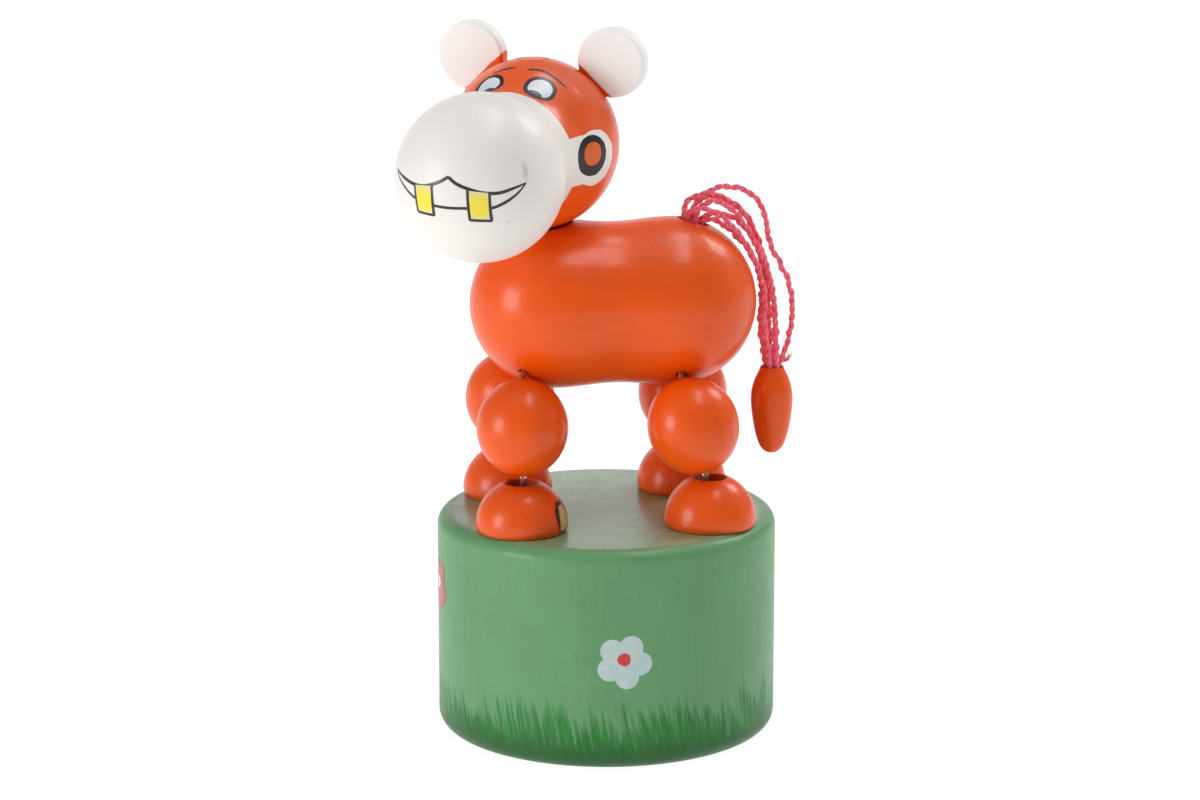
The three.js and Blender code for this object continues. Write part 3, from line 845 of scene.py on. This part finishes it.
def frayed_end():
    """Loose fibres that stand out beside the last thread, just over the bead."""
    random = np.random.default_rng(5)
    root = Vector((BEAD_X + 1.25, -0.1, BEAD_TOP + 0.5))
    parts = []
    for _ in range(16):
        x, y, z = random.uniform(0.9, 1.9), random.uniform(-0.4, 0.4), random.uniform(0.9, 2)
        tip = root + Vector((x, y, z))
        middle = root.lerp(tip, 0.5) + Vector((0.3, 0, -0.15))
        path = [root * MM, middle * MM, tip * MM]
        parts.append(tube(path, [0.06 * MM, 0.05 * MM, 0.02 * MM], 4))
    return parts


def add_threads(bead, knot):
    for i, (start, finish, way) in enumerate(THREADS):
        route = thread_route(start, finish, way)
        centre = evenly(curve_through([Vector(p) * MM for p in route], 10), SPACING * MM)
        centre = kinked(centre, 0.09 * MM, i + 1)
        parts = plies(centre, THREAD_D / 2 * MM, i + 1)
        if i == len(THREADS) - 1:
            parts.extend(frayed_end())
        strand = object_from(f"tail_strand_{i + 1}", *join(parts), yarn)
        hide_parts(f"tail_thread_{i + 1}")
        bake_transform(strand)


add_threads(*add_bead())


# Base.
def base_material():
    """Green paint with brushed grass round its foot, darker at the very bottom as painted shade, a
    paler, greyer deck with painted reflection, and bare wood inside.
    """
    nodes = Nodes("base_green")
    z = nodes.vector("DOT_PRODUCT", nodes.place, (0, 0, 1))
    reach = nodes.apart((0, 0, 0), (1, 1, 0))
    straight = nodes.place
    lean = nodes.make("ShaderNodeVectorRotate", rotation_type="Z_AXIS")
    nodes.put(lean.inputs["Vector"], straight)
    nodes.put(lean.inputs["Angle"], nodes.times(z, 7.0))
    nodes.place = lean.outputs[0]
    blade = nodes.noise(1.8, (1, 1, 11), detail=4)
    wisp = nodes.noise(2.8, (1, 1, 16), detail=3)
    clump = nodes.noise(0.24, (1, 1, 3), detail=1)
    nodes.place = straight
    tall = nodes.spread(clump, 5.4 * MM, 9.4 * MM)
    rise = nodes.over(z, tall)
    body = nodes.plus(nodes.times(blade, 1.1), nodes.times(wisp, 0.5))
    grass = nodes.ramp(nodes.minus(body, nodes.times(rise, 0.66)), 0.04, 0.36)
    wall = nodes.ramp(reach, (BASE_R - 3.4) * MM, (BASE_R - 1) * MM)
    grass = nodes.times(grass, wall)
    green = nodes.mix(nodes.ramp(wisp, 0.4, 0.7), GRASS, rgb(14, 130, 42))
    # Darker green towards the bottom of the drum: painted shade at its foot.
    green = nodes.mix(nodes.ramp(z, 5 * MM, 1 * MM, 0, 0.9), green, rgb(0, 72, 12))
    side = nodes.mix(nodes.times(grass, 0.95), GREEN, green)
    deck = nodes.times(
        nodes.ramp(z, (BASE_H - 0.9) * MM, (BASE_H - 0.05) * MM),
        nodes.ramp(reach, (BASE_R - 0.9) * MM, (BASE_R - 2.6) * MM),
    )
    # The deck gets a paler, greyer green than the side: green paint with a painted reflection on it.
    smudge = nodes.ramp(nodes.noise(0.22, detail=4), 0.42, 0.62)
    deck_green_and_reflection = nodes.mix(smudge, rgb(130, 168, 132), rgb(124, 158, 122))
    side = nodes.mix(deck, side, deck_green_and_reflection)
    spot = nodes.times(deck, nodes.ramp(nodes.noise(1.0, detail=1), 0.77, 0.8, 0, 0.75))
    side = nodes.mix(spot, side, rgb(70, 66, 60))
    worn_paint(nodes, side, (1, 1, 10), rough=(0.42, 0.52), gloss=0.35, coat=0.2)
    paint = nodes.linked("Base Color")
    rough = nodes.linked("Roughness")
    rough = nodes.minus(rough, nodes.times(deck, 0.24))
    inside = nodes.times(
        nodes.less(reach, (CAVITY + MOUTH + 0.6) * MM),
        nodes.less(z, (DECK_UNDER + 0.6) * MM),
    )
    rings = nodes.noise(0.7, (1, 1, 8), detail=4)
    wood = nodes.mix(nodes.ramp(rings, 0.35, 0.65), rgb(220, 190, 142), rgb(184, 142, 94))
    nodes.surface(
        Base_Color=nodes.mix(inside, paint, wood),
        Roughness=nodes.larger(rough, nodes.times(inside, 0.6)),
    )
    return nodes.material


def add_base():
    """The hollow drum, open below, with a hole through its deck for each line."""
    profile = [
        (CAVITY + MOUTH, 0),
        *arc(BASE_R - FOOT_EDGE, FOOT_EDGE, FOOT_EDGE, -90, 0, 14),
        *arc(BASE_R - DECK_EDGE, BASE_H - DECK_EDGE, DECK_EDGE, 0, 90, 14),
        (DECK_RING, BASE_H),
        (0, BASE_H),
        (0, DECK_UNDER),
        *arc(CAVITY - CORNER, DECK_UNDER - CORNER, CORNER, 90, 0, 8),
        (CAVITY, MOUTH),
        (CAVITY + MOUTH, 0),
    ]
    base = object_from("base_drum", *turned(profile, 240), base_material())
    holes = []
    for leg in legs:
        holes.append(drill(DECK_BORE, (*leg.foot, DECK_UNDER - 2), (*leg.foot, BASE_H + 2)))
    cut(base, holes)
    finish_piece(base, "base", "green_paint", "base_shell")


def petals(reach, count, turn):
    """The outline of a flower with round petals, as (across, up) in millimetres."""
    petal = reach * 0.43
    middle = reach - petal
    outline = []
    for i in range(120):
        a = TURN * i / 120
        best = 0.0
        for k in range(count):
            off = a - (turn * DEG + TURN * k / count)
            under = petal**2 - (middle * sin(off)) ** 2
            if under >= 0 and cos(off) > 0:
                best = max(best, middle * cos(off) + sqrt(under))
        outline.append(on_circle(best, a))
    return outline


def add_flower(name, angle, height, reach, turn, petal_paint, eye_paint):
    """A five-petal flower on the drum. Angle is from the front of the drum towards its right."""
    put = on_drum(BASE_R)

    def place(across, rise):
        a = angle * DEG + across / BASE_R
        return Vector((BASE_R * sin(a), -BASE_R * cos(a), height + rise))

    outline = [place(u, v) for u, v in petals(reach, 5, turn)]
    shape = fill(put, outline, rings=8)
    add_piece(name + "_petals", shape, petal_paint, "base", "green_paint")
    eye = []
    for i in range(36):
        a = TURN * i / 36
        u, v = on_circle(0.95 + 0.05 * sin(3 * a + angle), a)
        eye.append(place(u, v + 0.35))
    shape = fill(put, eye, lift=2 * LIFT, rings=3)
    add_piece(name + "_eye", shape, eye_paint, "base", "green_paint")


add_base()
pale_petal = flat_paint("petal_pale_blue", rgb(188, 207, 204), rgb(172, 195, 192))
red_petal = flat_paint("petal_red", rgb(176, 34, 40), rgb(156, 28, 34))
red_eye = flat_paint("flower_eye_red", rgb(206, 32, 34))
pale_eye = flat_paint("flower_eye_pale", rgb(226, 222, 214))
add_flower("flower_white_front", -1.7, 16.45, 4.1, -8, pale_petal, red_eye)
add_flower("flower_red_left", -87, 22.4, 4.1, 50, red_petal, pale_eye)
add_flower("flower_white_back", 150, 18.6, 4.1, 32, pale_petal, red_eye)
add_flower("flower_red_right", 104, 20.2, 4.1, 8, red_petal, pale_eye)
add_flower("flower_red_back", -152, 19.4, 4.1, 22, red_petal, pale_eye)


def add_button():
    """The thumb button, with a low boss inside the spring and a knot in each pocket."""
    edge = 0.6
    profile = [
        (0, BUTTON_FACE),
        *arc(BUTTON_R - edge, BUTTON_FACE + edge, edge, -90, 0, 2),
        *arc(BUTTON_R - edge, BUTTON_TOP - edge, edge, 0, 90, 2),
        (BOSS_R, BUTTON_TOP),
        *arc(BOSS_R - edge, BOSS_TOP - edge, edge, 0, 90, 2),
        (0, BOSS_TOP),
    ]
    button = object_from("thumb_button_disc", *turned(profile, 160), button_wood)
    holes = []
    for leg in legs:
        holes.append(drill(BUTTON_BORE, (*leg.anchor, 0.2), (*leg.anchor, BOSS_TOP + 0.5)))
        holes.append(drill(POCKET, (*leg.anchor, 0.1), (*leg.anchor, POCKET_TOP)))
    cut(button, holes)
    finish_piece(button, "button", "bare_wood", "thumb_button")
    for leg in legs:
        knot = trefoil((*leg.anchor, POCKET_TOP - 1), *BUTTON_KNOT)
        node = f"line_knot_{leg.name}"
        add_piece(f"button_knot_{leg.name}", knot, nylon, "button", "clear_line", node)


def add_spring():
    """A coil with one close turn at each end, drawn at one length; the real coil shortens as the
    button goes in.
    """
    low = BUTTON_TOP + SPRING_WIRE + 0.08
    high = DECK_UNDER - SPRING_WIRE - 0.08
    open_turns = SPRING_TURNS - 2
    pitch = (high - low - 2 * SPRING_CLOSED) / open_turns
    points = []
    for i in range(SPRING_TURNS * 32 + 1):
        t = i / 32
        opened = min(max(t - 1, 0), open_turns)
        height = low + (t - opened) * SPRING_CLOSED + opened * pitch
        points.append(mm(*on_circle(SPRING_R, TURN * t), height))
    spring = add_piece(
        "coil_spring", tube(points, [SPRING_WIRE * MM] * len(points), 10), spring_steel(),
        "base", "spring_steel", "return_spring",
    )
    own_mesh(spring)


add_button()
add_spring()


# Feet and leg balls. The feet spin freely, so each one's toes face their own way.
TOES_FACE = {"front_left": 6, "front_right": 84, "rear_left": 66, "rear_right": 58}
nail_paint = flat_paint("toenail_cream", rgb(214, 186, 124), rgb(196, 168, 108))


def add_feet():
    end = acos(FLARE / FOOT_R) / DEG
    ball = arc(0, 0, FOOT_R, 0, end - 1, 28)
    dome = [(r, FOOT_CENTRE + z * FOOT_HALF / FOOT_R) for r, z in ball]
    profile = [
        (LINE_BORE, 0),
        (6.1, 0),
        (6.35, 0.06),
        (6.55, 0.3),
        *dome,
        (FLARE, dome[-1][1]),
        (FLARE - 0.12, dome[-1][1] - 0.12),
        (LINE_BORE, FLARE_FROM),
        (LINE_BORE, 0),
    ]
    for leg in legs:
        body = f"foot_{leg.name}"
        # Each foot's paint has painted shade in the hole round its line.
        reach = (FLARE - 0.15) * MM
        paint = orange_paint(f"foot_orange_{leg.name}", grain_up, mm(*leg.foot, 0), reach)
        add_piece(
            f"foot_dome_{leg.name}", turned(profile, 96), paint,
            body, "orange_paint", body, matrix=shift(*leg.foot, BASE_H),
        )
        add_toenails(leg.name, leg.foot, TOES_FACE[leg.name])


def on_dome(foot):
    """A function that puts a point on a foot's dome, raised by a lift."""
    middle = Vector((*foot, BASE_H + FOOT_CENTRE))
    tall = FOOT_HALF / FOOT_R

    def put(point, lift):
        away = Vector(point) - middle
        away.z /= tall
        away = away.normalized() * (FOOT_R + lift)
        away.z *= tall
        return middle + away

    return put


def add_toenails(name, foot, facing):
    """Three toenails in a black patch low on the foot, centred on an angle from +X."""
    put = on_dome(foot)

    def place(turn, rise):
        radius = FOOT_R * cos(asin(min(rise / FOOT_HALF, 0.99)))
        x, y = on_circle(radius, (facing + turn) * DEG)
        return Vector((foot[0] + x, foot[1] + y, BASE_H + FOOT_CENTRE + rise))

    def mark(piece, corners, paint, lift):
        outline = [place(*corner) for corner in subdivided(corners, 8)]
        add_piece(piece, fill(put, outline, lift), paint, f"foot_{name}", "orange_paint")

    patch = [
        (-47, -0.3), (47, -0.3), (51, 1.5), (51, 2.8), (42, 3.9), (30, 3.85), (16, 3.95), (0, 3.9),
        (-16, 3.95), (-30, 3.85), (-42, 3.9), (-51, 2.8), (-51, 1.5),
    ]
    mark(f"toe_patch_{name}", patch, ink_paint, LIFT)
    for k, middle in enumerate((-32, 0, 32)):
        nail = [
            (middle - 14, -0.1), (middle + 14, -0.1), (middle + 13, 1.8), (middle + 7, 3.3),
            (middle - 7, 3.3), (middle - 13, 1.8),
        ]
        mark(f"toenail_{name}_{k + 1}", nail, nail_paint, 2 * LIFT)


def add_legs():
    end = acos(LINE_BORE / LEG_R) / DEG
    ball = arc(0, 0, LEG_R, -end + 1, end - 1, 44)
    shape = [(r, z * LEG_HALF / LEG_R) for r, z in ball]
    inner = shape[-1][1] - 0.15
    profile = [*shape, (LINE_BORE, inner), (LINE_BORE, -inner), shape[0]]
    for leg in legs:
        body = f"leg_{leg.name}"
        add_piece(
            f"leg_ball_{leg.name}", turned(profile, 96), orange_up,
            body, "orange_paint", body, matrix=along(leg.ball, leg.way),
        )


add_feet()
add_legs()


# Lines, in stretches. The stretch in the base goes with the base and the one at each hip with the
# trunk. They show at the ankles and a little at the hips.
def line_piece(name, points, material=nylon):
    line = evenly([Vector(p) * MM for p in points], 0.9 * MM)
    return object_from(name, *tube(line, [LINE_R * MM] * len(line), 12), material)


def add_lines():
    deck_in = DECK_UNDER - 0.6
    for leg in legs:
        name = leg.name
        entry = (*leg.foot, deck_in)
        low_points = [(*leg.anchor, POCKET_TOP - 0.4), (*leg.anchor, BUTTON_TOP + 0.9), entry]
        lower = line_piece(f"line_in_base_{name}", low_points)
        finish_piece(lower, "base", "clear_line", f"line_{name}")
        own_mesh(lower)
        foot_side = leg.ball - leg.way * (LEG_HALF + 0.05)
        top_side = leg.ball + leg.way * (LEG_HALF + 0.05)
        ankle_points = [entry, leg.foot_point, foot_side, leg.ball, top_side]
        ankle = line_piece(f"line_in_leg_{name}", ankle_points)
        Vector((*leg.foot, BASE_H)) * MM
        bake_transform(ankle)
        hip_points = [top_side - leg.way * 0.5, top_side, leg.mouth, leg.to]
        if not leg.front:
            hip_points.append((leg.to.x, leg.to.y, TAIL_SHELF))
        # The hip stretch is painted orange: painted reflection of the body round the clear line.
        hip = line_piece(f"line_at_hip_{name}", hip_points, nylon_painted_reflection)
        finish_piece(hip, "trunk", "clear_line")
        if leg.front:
            neck_points = [leg.to, (leg.to.x, leg.to.y, HEAD_AT.z - 1.3)]
            neck = line_piece(f"line_in_neck_{name}", neck_points)
            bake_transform(neck)


add_lines()


# Body.
def add_body():
    """The barrel with its faint waist, its dish for the head, its holes and its two knots."""
    waist = 0.55
    middle = []
    for i in range(1, 24):
        t = i / 24
        radius = BODY_R - waist * (1 - cos(TURN * t)) / 2
        middle.append((radius, BODY_FRONT + t * (BODY_REAR - BODY_FRONT)))
    profile = [
        *arc(0, BODY_FRONT, BODY_R, -90, 0, 36),
        *middle,
        *arc(0, BODY_REAR, BODY_R, 0, 90, 36),
    ]
    lay = shift(0, 0, BODY_AXIS) @ Matrix.Rotation(TURN / 4, 4, "Y")
    body = object_from("body_turned", *turned(profile, 180), orange_long, lay)
    seat = arc(0, 0, CRANIUM + SEAT_GAP, -90, 90, 60)
    dish = object_from("drill", *turned(seat, 120), None, shift(*HEAD_AT))
    top = BODY_AXIS + BODY_R + 0.6
    floor = BODY_AXIS + 0.1
    cutters = [
        dish,
        drill(NECK_BORE, (HEAD_AT.x, 0, floor), HEAD_AT),
        drill(NECK_BORE, (TAIL_X, 0, floor), (TAIL_X, 0, TAIL_SHELF + 3)),
        drill(TAIL_BORE, (TAIL_X, 0, TAIL_SHELF), (TAIL_X, 0, top), 48),
    ]
    for leg in legs:
        inward = (leg.to - leg.mouth).normalized()
        cutters.append(drill(LINE_BORE, leg.mouth - inward * 2.4, leg.to))
    cut(body, cutters)
    finish_piece(body, "trunk", "orange_paint", "body_barrel")
    knot = trefoil((TAIL_X, 0, TAIL_SHELF + 1.1), *REAR_KNOT)
    add_piece("rear_line_knot", knot, nylon, "trunk", "clear_line", "rear_knot")
    knot = trefoil((TAIL_X, 0, THREAD_FROM - 0.7), *TAIL_KNOT)
    add_piece("tail_end_knot", knot, yarn, "trunk", "pink_yarn", "tail_knot")


add_body()


# Head. Its own axes: X is its left, Y is up over the eyes, Z is where the muzzle points.
YAW = 62.7 * DEG
DIP = 4.06 * DEG
FACE = Vector((-cos(YAW) * cos(DIP), -sin(YAW) * cos(DIP), -sin(DIP)))
SIDE = Vector((sin(YAW), -cos(YAW), 0))
UP = FACE.cross(SIDE)
HEAD = shift(*HEAD_AT) @ Matrix((SIDE, UP, FACE)).transposed().to_4x4()
HOLLOW = (WAIST_AT**2 + WAIST**2 - CRANIUM**2) / (2 * (CRANIUM - WAIST))
HOLLOW_R = WAIST + HOLLOW
MUZZLE_AT = WAIST_AT + sqrt((MUZZLE + HOLLOW) ** 2 - HOLLOW_R**2)
PAINT_LINE = 8.8
PAINT_LINE_TOP = 9.65


def polar(angle, roll):
    """A point on the cranium, at an angle from the face axis and a roll from up to the left."""
    a, r = angle * DEG, roll * DEG
    out = CRANIUM * sin(a)
    return Vector((out * sin(r), out * cos(r), CRANIUM * cos(a)))


EYE_ANGLE = 57
EYE_ROLL = 21.8
EYE_OUTER = 2.45
EYE_INNER = 1.8
PUPIL_ANGLE = 47.3
PUPIL_ROLL = 21
PUPIL_R = 1.4
CHEEK_LOBE = (11.5, -0.4, 4.9)
LOBE_R = 4.12
CHEEK_RING = (11.12, 0.1, 5.4)
RING_OUTER = 3.0
RING_INNER = 1.72
# Grey rubbed spots on the muzzle: place, reach, and how much each axis counts.
SCUFFS = (
    ((9.4, 3.1, 27.7), 0.55, (1, 0.2, 1)),
    ((7.46, -3.81, 29.54), 0.3, (1, 1, 1)),
)


def head_material():
    """Orange and white paint with the eyes and cheek rings, in the head's own axes."""
    nodes = Nodes("head_paint")
    off = nodes.off(HEAD_AT * MM)
    side, up, face = [nodes.vector("DOT_PRODUCT", off, tuple(axis)) for axis in (SIDE, UP, FACE)]
    joined = nodes.make("ShaderNodeCombineXYZ")
    for socket, value in zip(joined.inputs, (side, up, face)):
        nodes.put(socket, value)
    nodes.place = joined.outputs[0]
    wobble = nodes.wobble(0.5, 0.35 * MM)
    # White lies before the paint line, round each cheek and between the two.
    line = nodes.ramp(up, 0.5 * MM, 4.5 * MM, PAINT_LINE * MM, PAINT_LINE_TOP * MM)
    white = nodes.more(nodes.plus(face, wobble), line)
    bridge = nodes.more(face, CHEEK_LOBE[2] * MM)
    band = nodes.size(nodes.plus(up, 0.3 * MM))
    bridge = nodes.times(bridge, nodes.less(band, 3.6 * MM))
    outward = nodes.more(nodes.size(side), 5 * MM)
    white = nodes.larger(white, nodes.times(bridge, outward))
    for sign in (1, -1):
        lobe = mm(sign * CHEEK_LOBE[0], *CHEEK_LOBE[1:])
        white = nodes.larger(white, nodes.near(lobe, LOBE_R * MM, wobble))
    shade = nodes.mix(nodes.ramp(nodes.noise(0.06), 0.3, 0.7), WHITE, rgb(236, 231, 225))
    for place, reach, shares in SCUFFS:
        off = nodes.apart(mm(*place), shares)
        scuff = nodes.ramp(off, reach * MM, 0.2 * reach * MM, 0, 0.4)
        shade = nodes.mix(scuff, shade, rgb(150, 148, 144))
    colour = nodes.mix(white, ORANGE, shade)
    for sign in (1, -1):
        ring = mm(sign * CHEEK_RING[0], *CHEEK_RING[1:])
        dark = nodes.near(ring + mm(0, 0, 0.16), RING_OUTER * MM, wobble)
        colour = nodes.mix(dark, colour, rgb(26, 20, 18))
        middle = nodes.near(ring + mm(0, 0.25, 0), RING_INNER * MM, wobble)
        colour = nodes.mix(middle, colour, rgb(226, 96, 22))
        eye = polar(EYE_ANGLE, sign * EYE_ROLL) * MM
        pupil = polar(PUPIL_ANGLE, sign * PUPIL_ROLL) * MM
        seen = nodes.near(eye, EYE_OUTER * MM, wobble)
        colour = nodes.mix(seen, colour, rgb(24, 18, 18))
        ball = nodes.near(eye, EYE_INNER * MM, wobble)
        # Eye whites run from bluish low down to white at the top: white paint with a painted
        # reflection on it.
        tint = nodes.mix(nodes.ramp(up, 9.0 * MM, 11.2 * MM), rgb(206, 216, 226), rgb(230, 231, 232))
        colour = nodes.mix(ball, colour, tint)
        dark = nodes.times(nodes.near(pupil, PUPIL_R * MM, wobble), seen)
        colour = nodes.mix(dark, colour, rgb(16, 12, 12))
    worn_paint(nodes, colour, (1, 1, 12), rough=(0.36, 0.46), wear=0.2, gloss=0.38)
    nodes.surface(Coat_Weight=nodes.ramp(white, 0, 1, 0.42, 0.1))
    return nodes.material


def add_head():
    cranium_end = atan2(WAIST_AT, HOLLOW_R) / DEG
    muzzle_start = atan2(WAIST_AT - MUZZLE_AT, HOLLOW_R) / DEG
    profile = [
        *arc(0, 0, CRANIUM, -90, cranium_end, 60),
        *arc(HOLLOW_R, WAIST_AT, HOLLOW, 180 + cranium_end, 180 + muzzle_start, 16)[1:-1],
        *arc(0, MUZZLE_AT, MUZZLE, muzzle_start, 90, 60),
    ]
    head = object_from("head_turned", *turned(profile, 180), head_material(), HEAD)
    above = Vector((0, 0, CRANIUM + 2))
    cutters = [
        drill(NECK_BORE, HEAD_AT - above, HEAD_AT),
        drill(CHAMBER, HEAD_AT - Vector((0, 0, 1.6)), HEAD_AT + above, 48),
    ]
    wide, half = EAR_R + EAR_SLOT, EAR_HALF + EAR_SLOT
    slot = turned([(0, -half), (wide, -half), (wide, half), (0, half)], 96)
    for sign in (1, -1):
        cutters.append(object_from("drill", *slot, None, ear_frame(sign)))
    cut(head, cutters)
    finish_piece(head, "head", "orange_paint", "head")
    plug_profile = [
        (0, PLUG_FROM), (PLUG_R, PLUG_FROM), (PLUG_R, 12.2), (2.05, 12.27), (1.4, 12.37), (0, 12.45),
    ]
    add_piece(
        "head_plug_cap", turned(plug_profile, 48), orange_up,
        "head", "orange_paint", "head_plug", matrix=shift(*HEAD_AT),
    )
    knot = trefoil((HEAD_AT.x, 0, HEAD_AT.z + 0.3), *HEAD_KNOT)
    add_piece("neck_line_knot", knot, nylon, "neck", "clear_line", "head_knot")


def ear_frame(sign):
    """The frame of an ear disc, turned as the head is."""
    return HEAD @ shift(sign * EAR_AT[0], *EAR_AT[1:])


def ear_paint(name, sign, chord):
    """White enamel that stops at a chord near the head, where the head's orange shows."""
    nodes = Nodes(name)
    inward = (SIDE * (-sign * EAR_AT[0]) - UP * EAR_AT[1]).normalized()
    off = nodes.off(ear_frame(sign).translation)
    toward_head = nodes.vector("DOT_PRODUCT", off, tuple(inward))
    bare = nodes.more(nodes.plus(toward_head, nodes.wobble(0.6, 0.4 * MM)), chord * MM)
    colour = nodes.mix(bare, rgb(249, 248, 245), ORANGE)
    worn_paint(nodes, colour, (1, 1, 6), rough=(0.36, 0.46), wear=0.2, coat=0.1)
    return nodes.material


def add_ears():
    profile = [
        (0, -EAR_HALF),
        *arc(EAR_R - EAR_ROUND, EAR_ROUND - EAR_HALF, EAR_ROUND, -90, 0, 8),
        *arc(EAR_R - EAR_ROUND, EAR_HALF - EAR_ROUND, EAR_ROUND, 0, 90, 8),
        (0, EAR_HALF),
    ]
    for sign, name, chord in ((1, "left", 3.5), (-1, "right", 2.9)):
        paint = ear_paint(f"ear_white_{name}", sign, chord)
        add_piece(
            f"ear_disc_{name}", turned(profile, 120), paint,
            "head", "white_paint", f"ear_{name}", matrix=ear_frame(sign),
        )
        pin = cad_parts[f"ear_pin_{name}"]
        pin.data.materials.clear()
        pin.data.materials.append(pin_wood)


add_head()
add_ears()


# The smile, its teeth and the brows.
def face_piece(name, shape, material):
    add_piece(name, shape, material, "head", "white_paint", matrix=HEAD)


def face_line(name, put, points, widths, lift=LIFT, forward=0):
    """An ink line through points given as (forward, left, up) from the middle of their ball."""
    line = [Vector((s, u, f + forward)) for f, s, u in points]
    face_piece(name, stroke(put, line, widths, lift), ink_paint)


def tooth_paint(name, middle):
    """Cream enamel with a yellow blush round a point in the tooth's middle."""
    nodes = Nodes(f"tooth_enamel_{name}")
    off = nodes.vector("DISTANCE", nodes.place, tuple(middle))
    off = nodes.plus(off, nodes.times(nodes.noise(0.9), 0.5 * MM))
    blush = nodes.ramp(off, 2.5 * MM, 1.6 * MM)
    nodes.surface(
        Base_Color=nodes.mix(blush, rgb(222, 216, 176), rgb(244, 224, 60)),
        Roughness=nodes.spread(nodes.noise(2.0), 0.32, 0.42),
        Coat_Weight=0.15,
        Coat_Roughness=0.2,
    )
    return nodes.material


def add_face():
    muzzle = on_ball((0, 0, MUZZLE_AT), MUZZLE)
    cranium = on_ball((0, 0, 0), CRANIUM)
    upper_right = [(6.8, -9.6, 2.3), (8.9, -7.8, 1.7), (10.5, -5.7, 1.24), (11.3, -3.9, 1.26),
                   (11.7, -1.4, 2.1), (11.66, -0.1, 2.85)]
    upper_left = [(11.66, -0.1, 2.85), (11.8, 1.1, 2.0), (11.6, 2.8, 1.3), (11.0, 4.7, 0.73),
                  (9.95, 6.7, 0.6), (8.55, 8.4, 1.06), (7.1, 9.6, 1.5)]
    lower = [(6.8, -9.6, 2.3), (8.0, -8.8, 1.3), (8.9, -8.0, 0.7), (10.5, -5.75, -0.6),
             (11.7, -2.5, -1.3), (11.9, 0, -1.47), (11.7, 2.4, -1.44), (10.5, 5.6, -1.5),
             (9.55, 7.2, -0.9), (8.2, 8.8, 0.3), (7.1, 9.6, 1.5)]
    lip = [0.2, 0.44, 0.48, 0.48, 0.46]
    face_line("smile_upper_right", muzzle, upper_right, lip, forward=MUZZLE_AT)
    face_line("smile_upper_left", muzzle, upper_left, lip[::-1], forward=MUZZLE_AT)
    lip = [0.18, 0.38, 0.4, 0.42, 0.4, 0.46, 0.18]
    face_line("smile_lower", muzzle, lower, lip, LIFT * 0.8, MUZZLE_AT)
    teeth = {
        "right": [(-5.5, 1.2), (-2.6, 1.45), (-2.5, -2.75), (-5.15, -2.6)],
        "left": [(2.7, 1.1), (5.5, 0.7), (5.5, -3.35), (2.8, -3.15)],
    }
    for name, corners in teeth.items():
        outline = []
        for s, u in subdivided(corners, 10):
            outline.append(Vector((s, u, MUZZLE_AT + sqrt(MUZZLE**2 - s * s - u * u))))
        middle = HEAD @ (sum(outline, Vector()) / len(outline) * MM)
        face_piece(f"tooth_{name}", fill(muzzle, outline, LIFT * 1.4), tooth_paint(name, middle))
        edge = stroke(muzzle, outline[10:] + outline[:1], [0.4, 0.46, 0.48, 0.46, 0.42], LIFT * 1.8)
        face_piece(f"tooth_{name}_outline", edge, ink_paint)
    brow_left = [(4.04, 0.95, 11.79), (3.53, 2.89, 11.64), (3.79, 4.80, 10.90), (4.25, 7.05, 9.40)]
    brow_right = [(4.26, -4.21, 10.97), (3.83, -2.35, 11.66), (3.66, -0.88, 11.92)]
    face_line("brow_left", cranium, brow_left, [0.24, 0.5, 0.5, 0.4, 0.14])
    face_line("brow_right", cranium, brow_right, [0.12, 0.36, 0.46, 0.22])


add_face()


# Room: a plain pale floor, soft light from both sides and above.
def add_room():
    mesh = bpy.data.meshes.new("floor")
    half = 3.0
    mesh.from_pydata(
        [(-half, -half, 0), (half, -half, 0), (half, half, 0), (-half, half, 0)],
        [],
        [(0, 1, 2, 3)],
    )
    floor = bpy.data.objects.new("floor", mesh)
    nodes = Nodes("floor_white")
    nodes.surface(
        Base_Color=nodes.mix(nodes.noise(0.002), rgb(112, 112, 112), rgb(108, 108, 108)),
        Roughness=0.9,
        Emission_Color=(1, 1, 1, 1),
        Emission_Strength=0.93,
    )
    mesh.materials.append(nodes.material)
    bpy.context.scene.collection.objects.link(floor)
    world = bpy.data.worlds.new("studio")
    world.use_nodes = True
    sky = world.node_tree.nodes["Background"]
    sky.inputs["Color"].default_value = (1, 1, 1, 1)
    sky.inputs["Strength"].default_value = 0.32
    bpy.context.scene.world = world
    # Each lamp's name, place, width and height in metres, and power in watts.
    lamps = (
        ("softbox_left", (-0.72, -0.28, 0.2), 0.32, 0.32, 2.5),
        ("softbox_right", (0.5, 0.3, 0.55), 0.25, 0.25, 1.5),
        ("softbox_side", (0.76, 0, 0.32), 0.3, 0.3, 0.12),
        ("softbox_top", (0.17, 0, 0.8), 0.7, 0.16, 2.2),
        ("softbox_back", (0.1, 1.2, 0.32), 1.6, 0.5, 1.6),
    )
    for name, place, width, height, power in lamps:
        data = bpy.data.lights.new(name, "AREA")
        data.shape = "RECTANGLE"
        data.size = width
        data.size_y = height
        data.energy = power
        lamp = bpy.data.objects.new(name, data)
        lamp.location = place
        way = Vector(place) - Vector((0, 0, 0.05))
        lamp.rotation_euler = way.to_track_quat("Z", "Y").to_euler()
        bpy.context.scene.collection.objects.link(lamp)


add_room()
bpy.context.scene.view_settings.view_transform = "Standard"
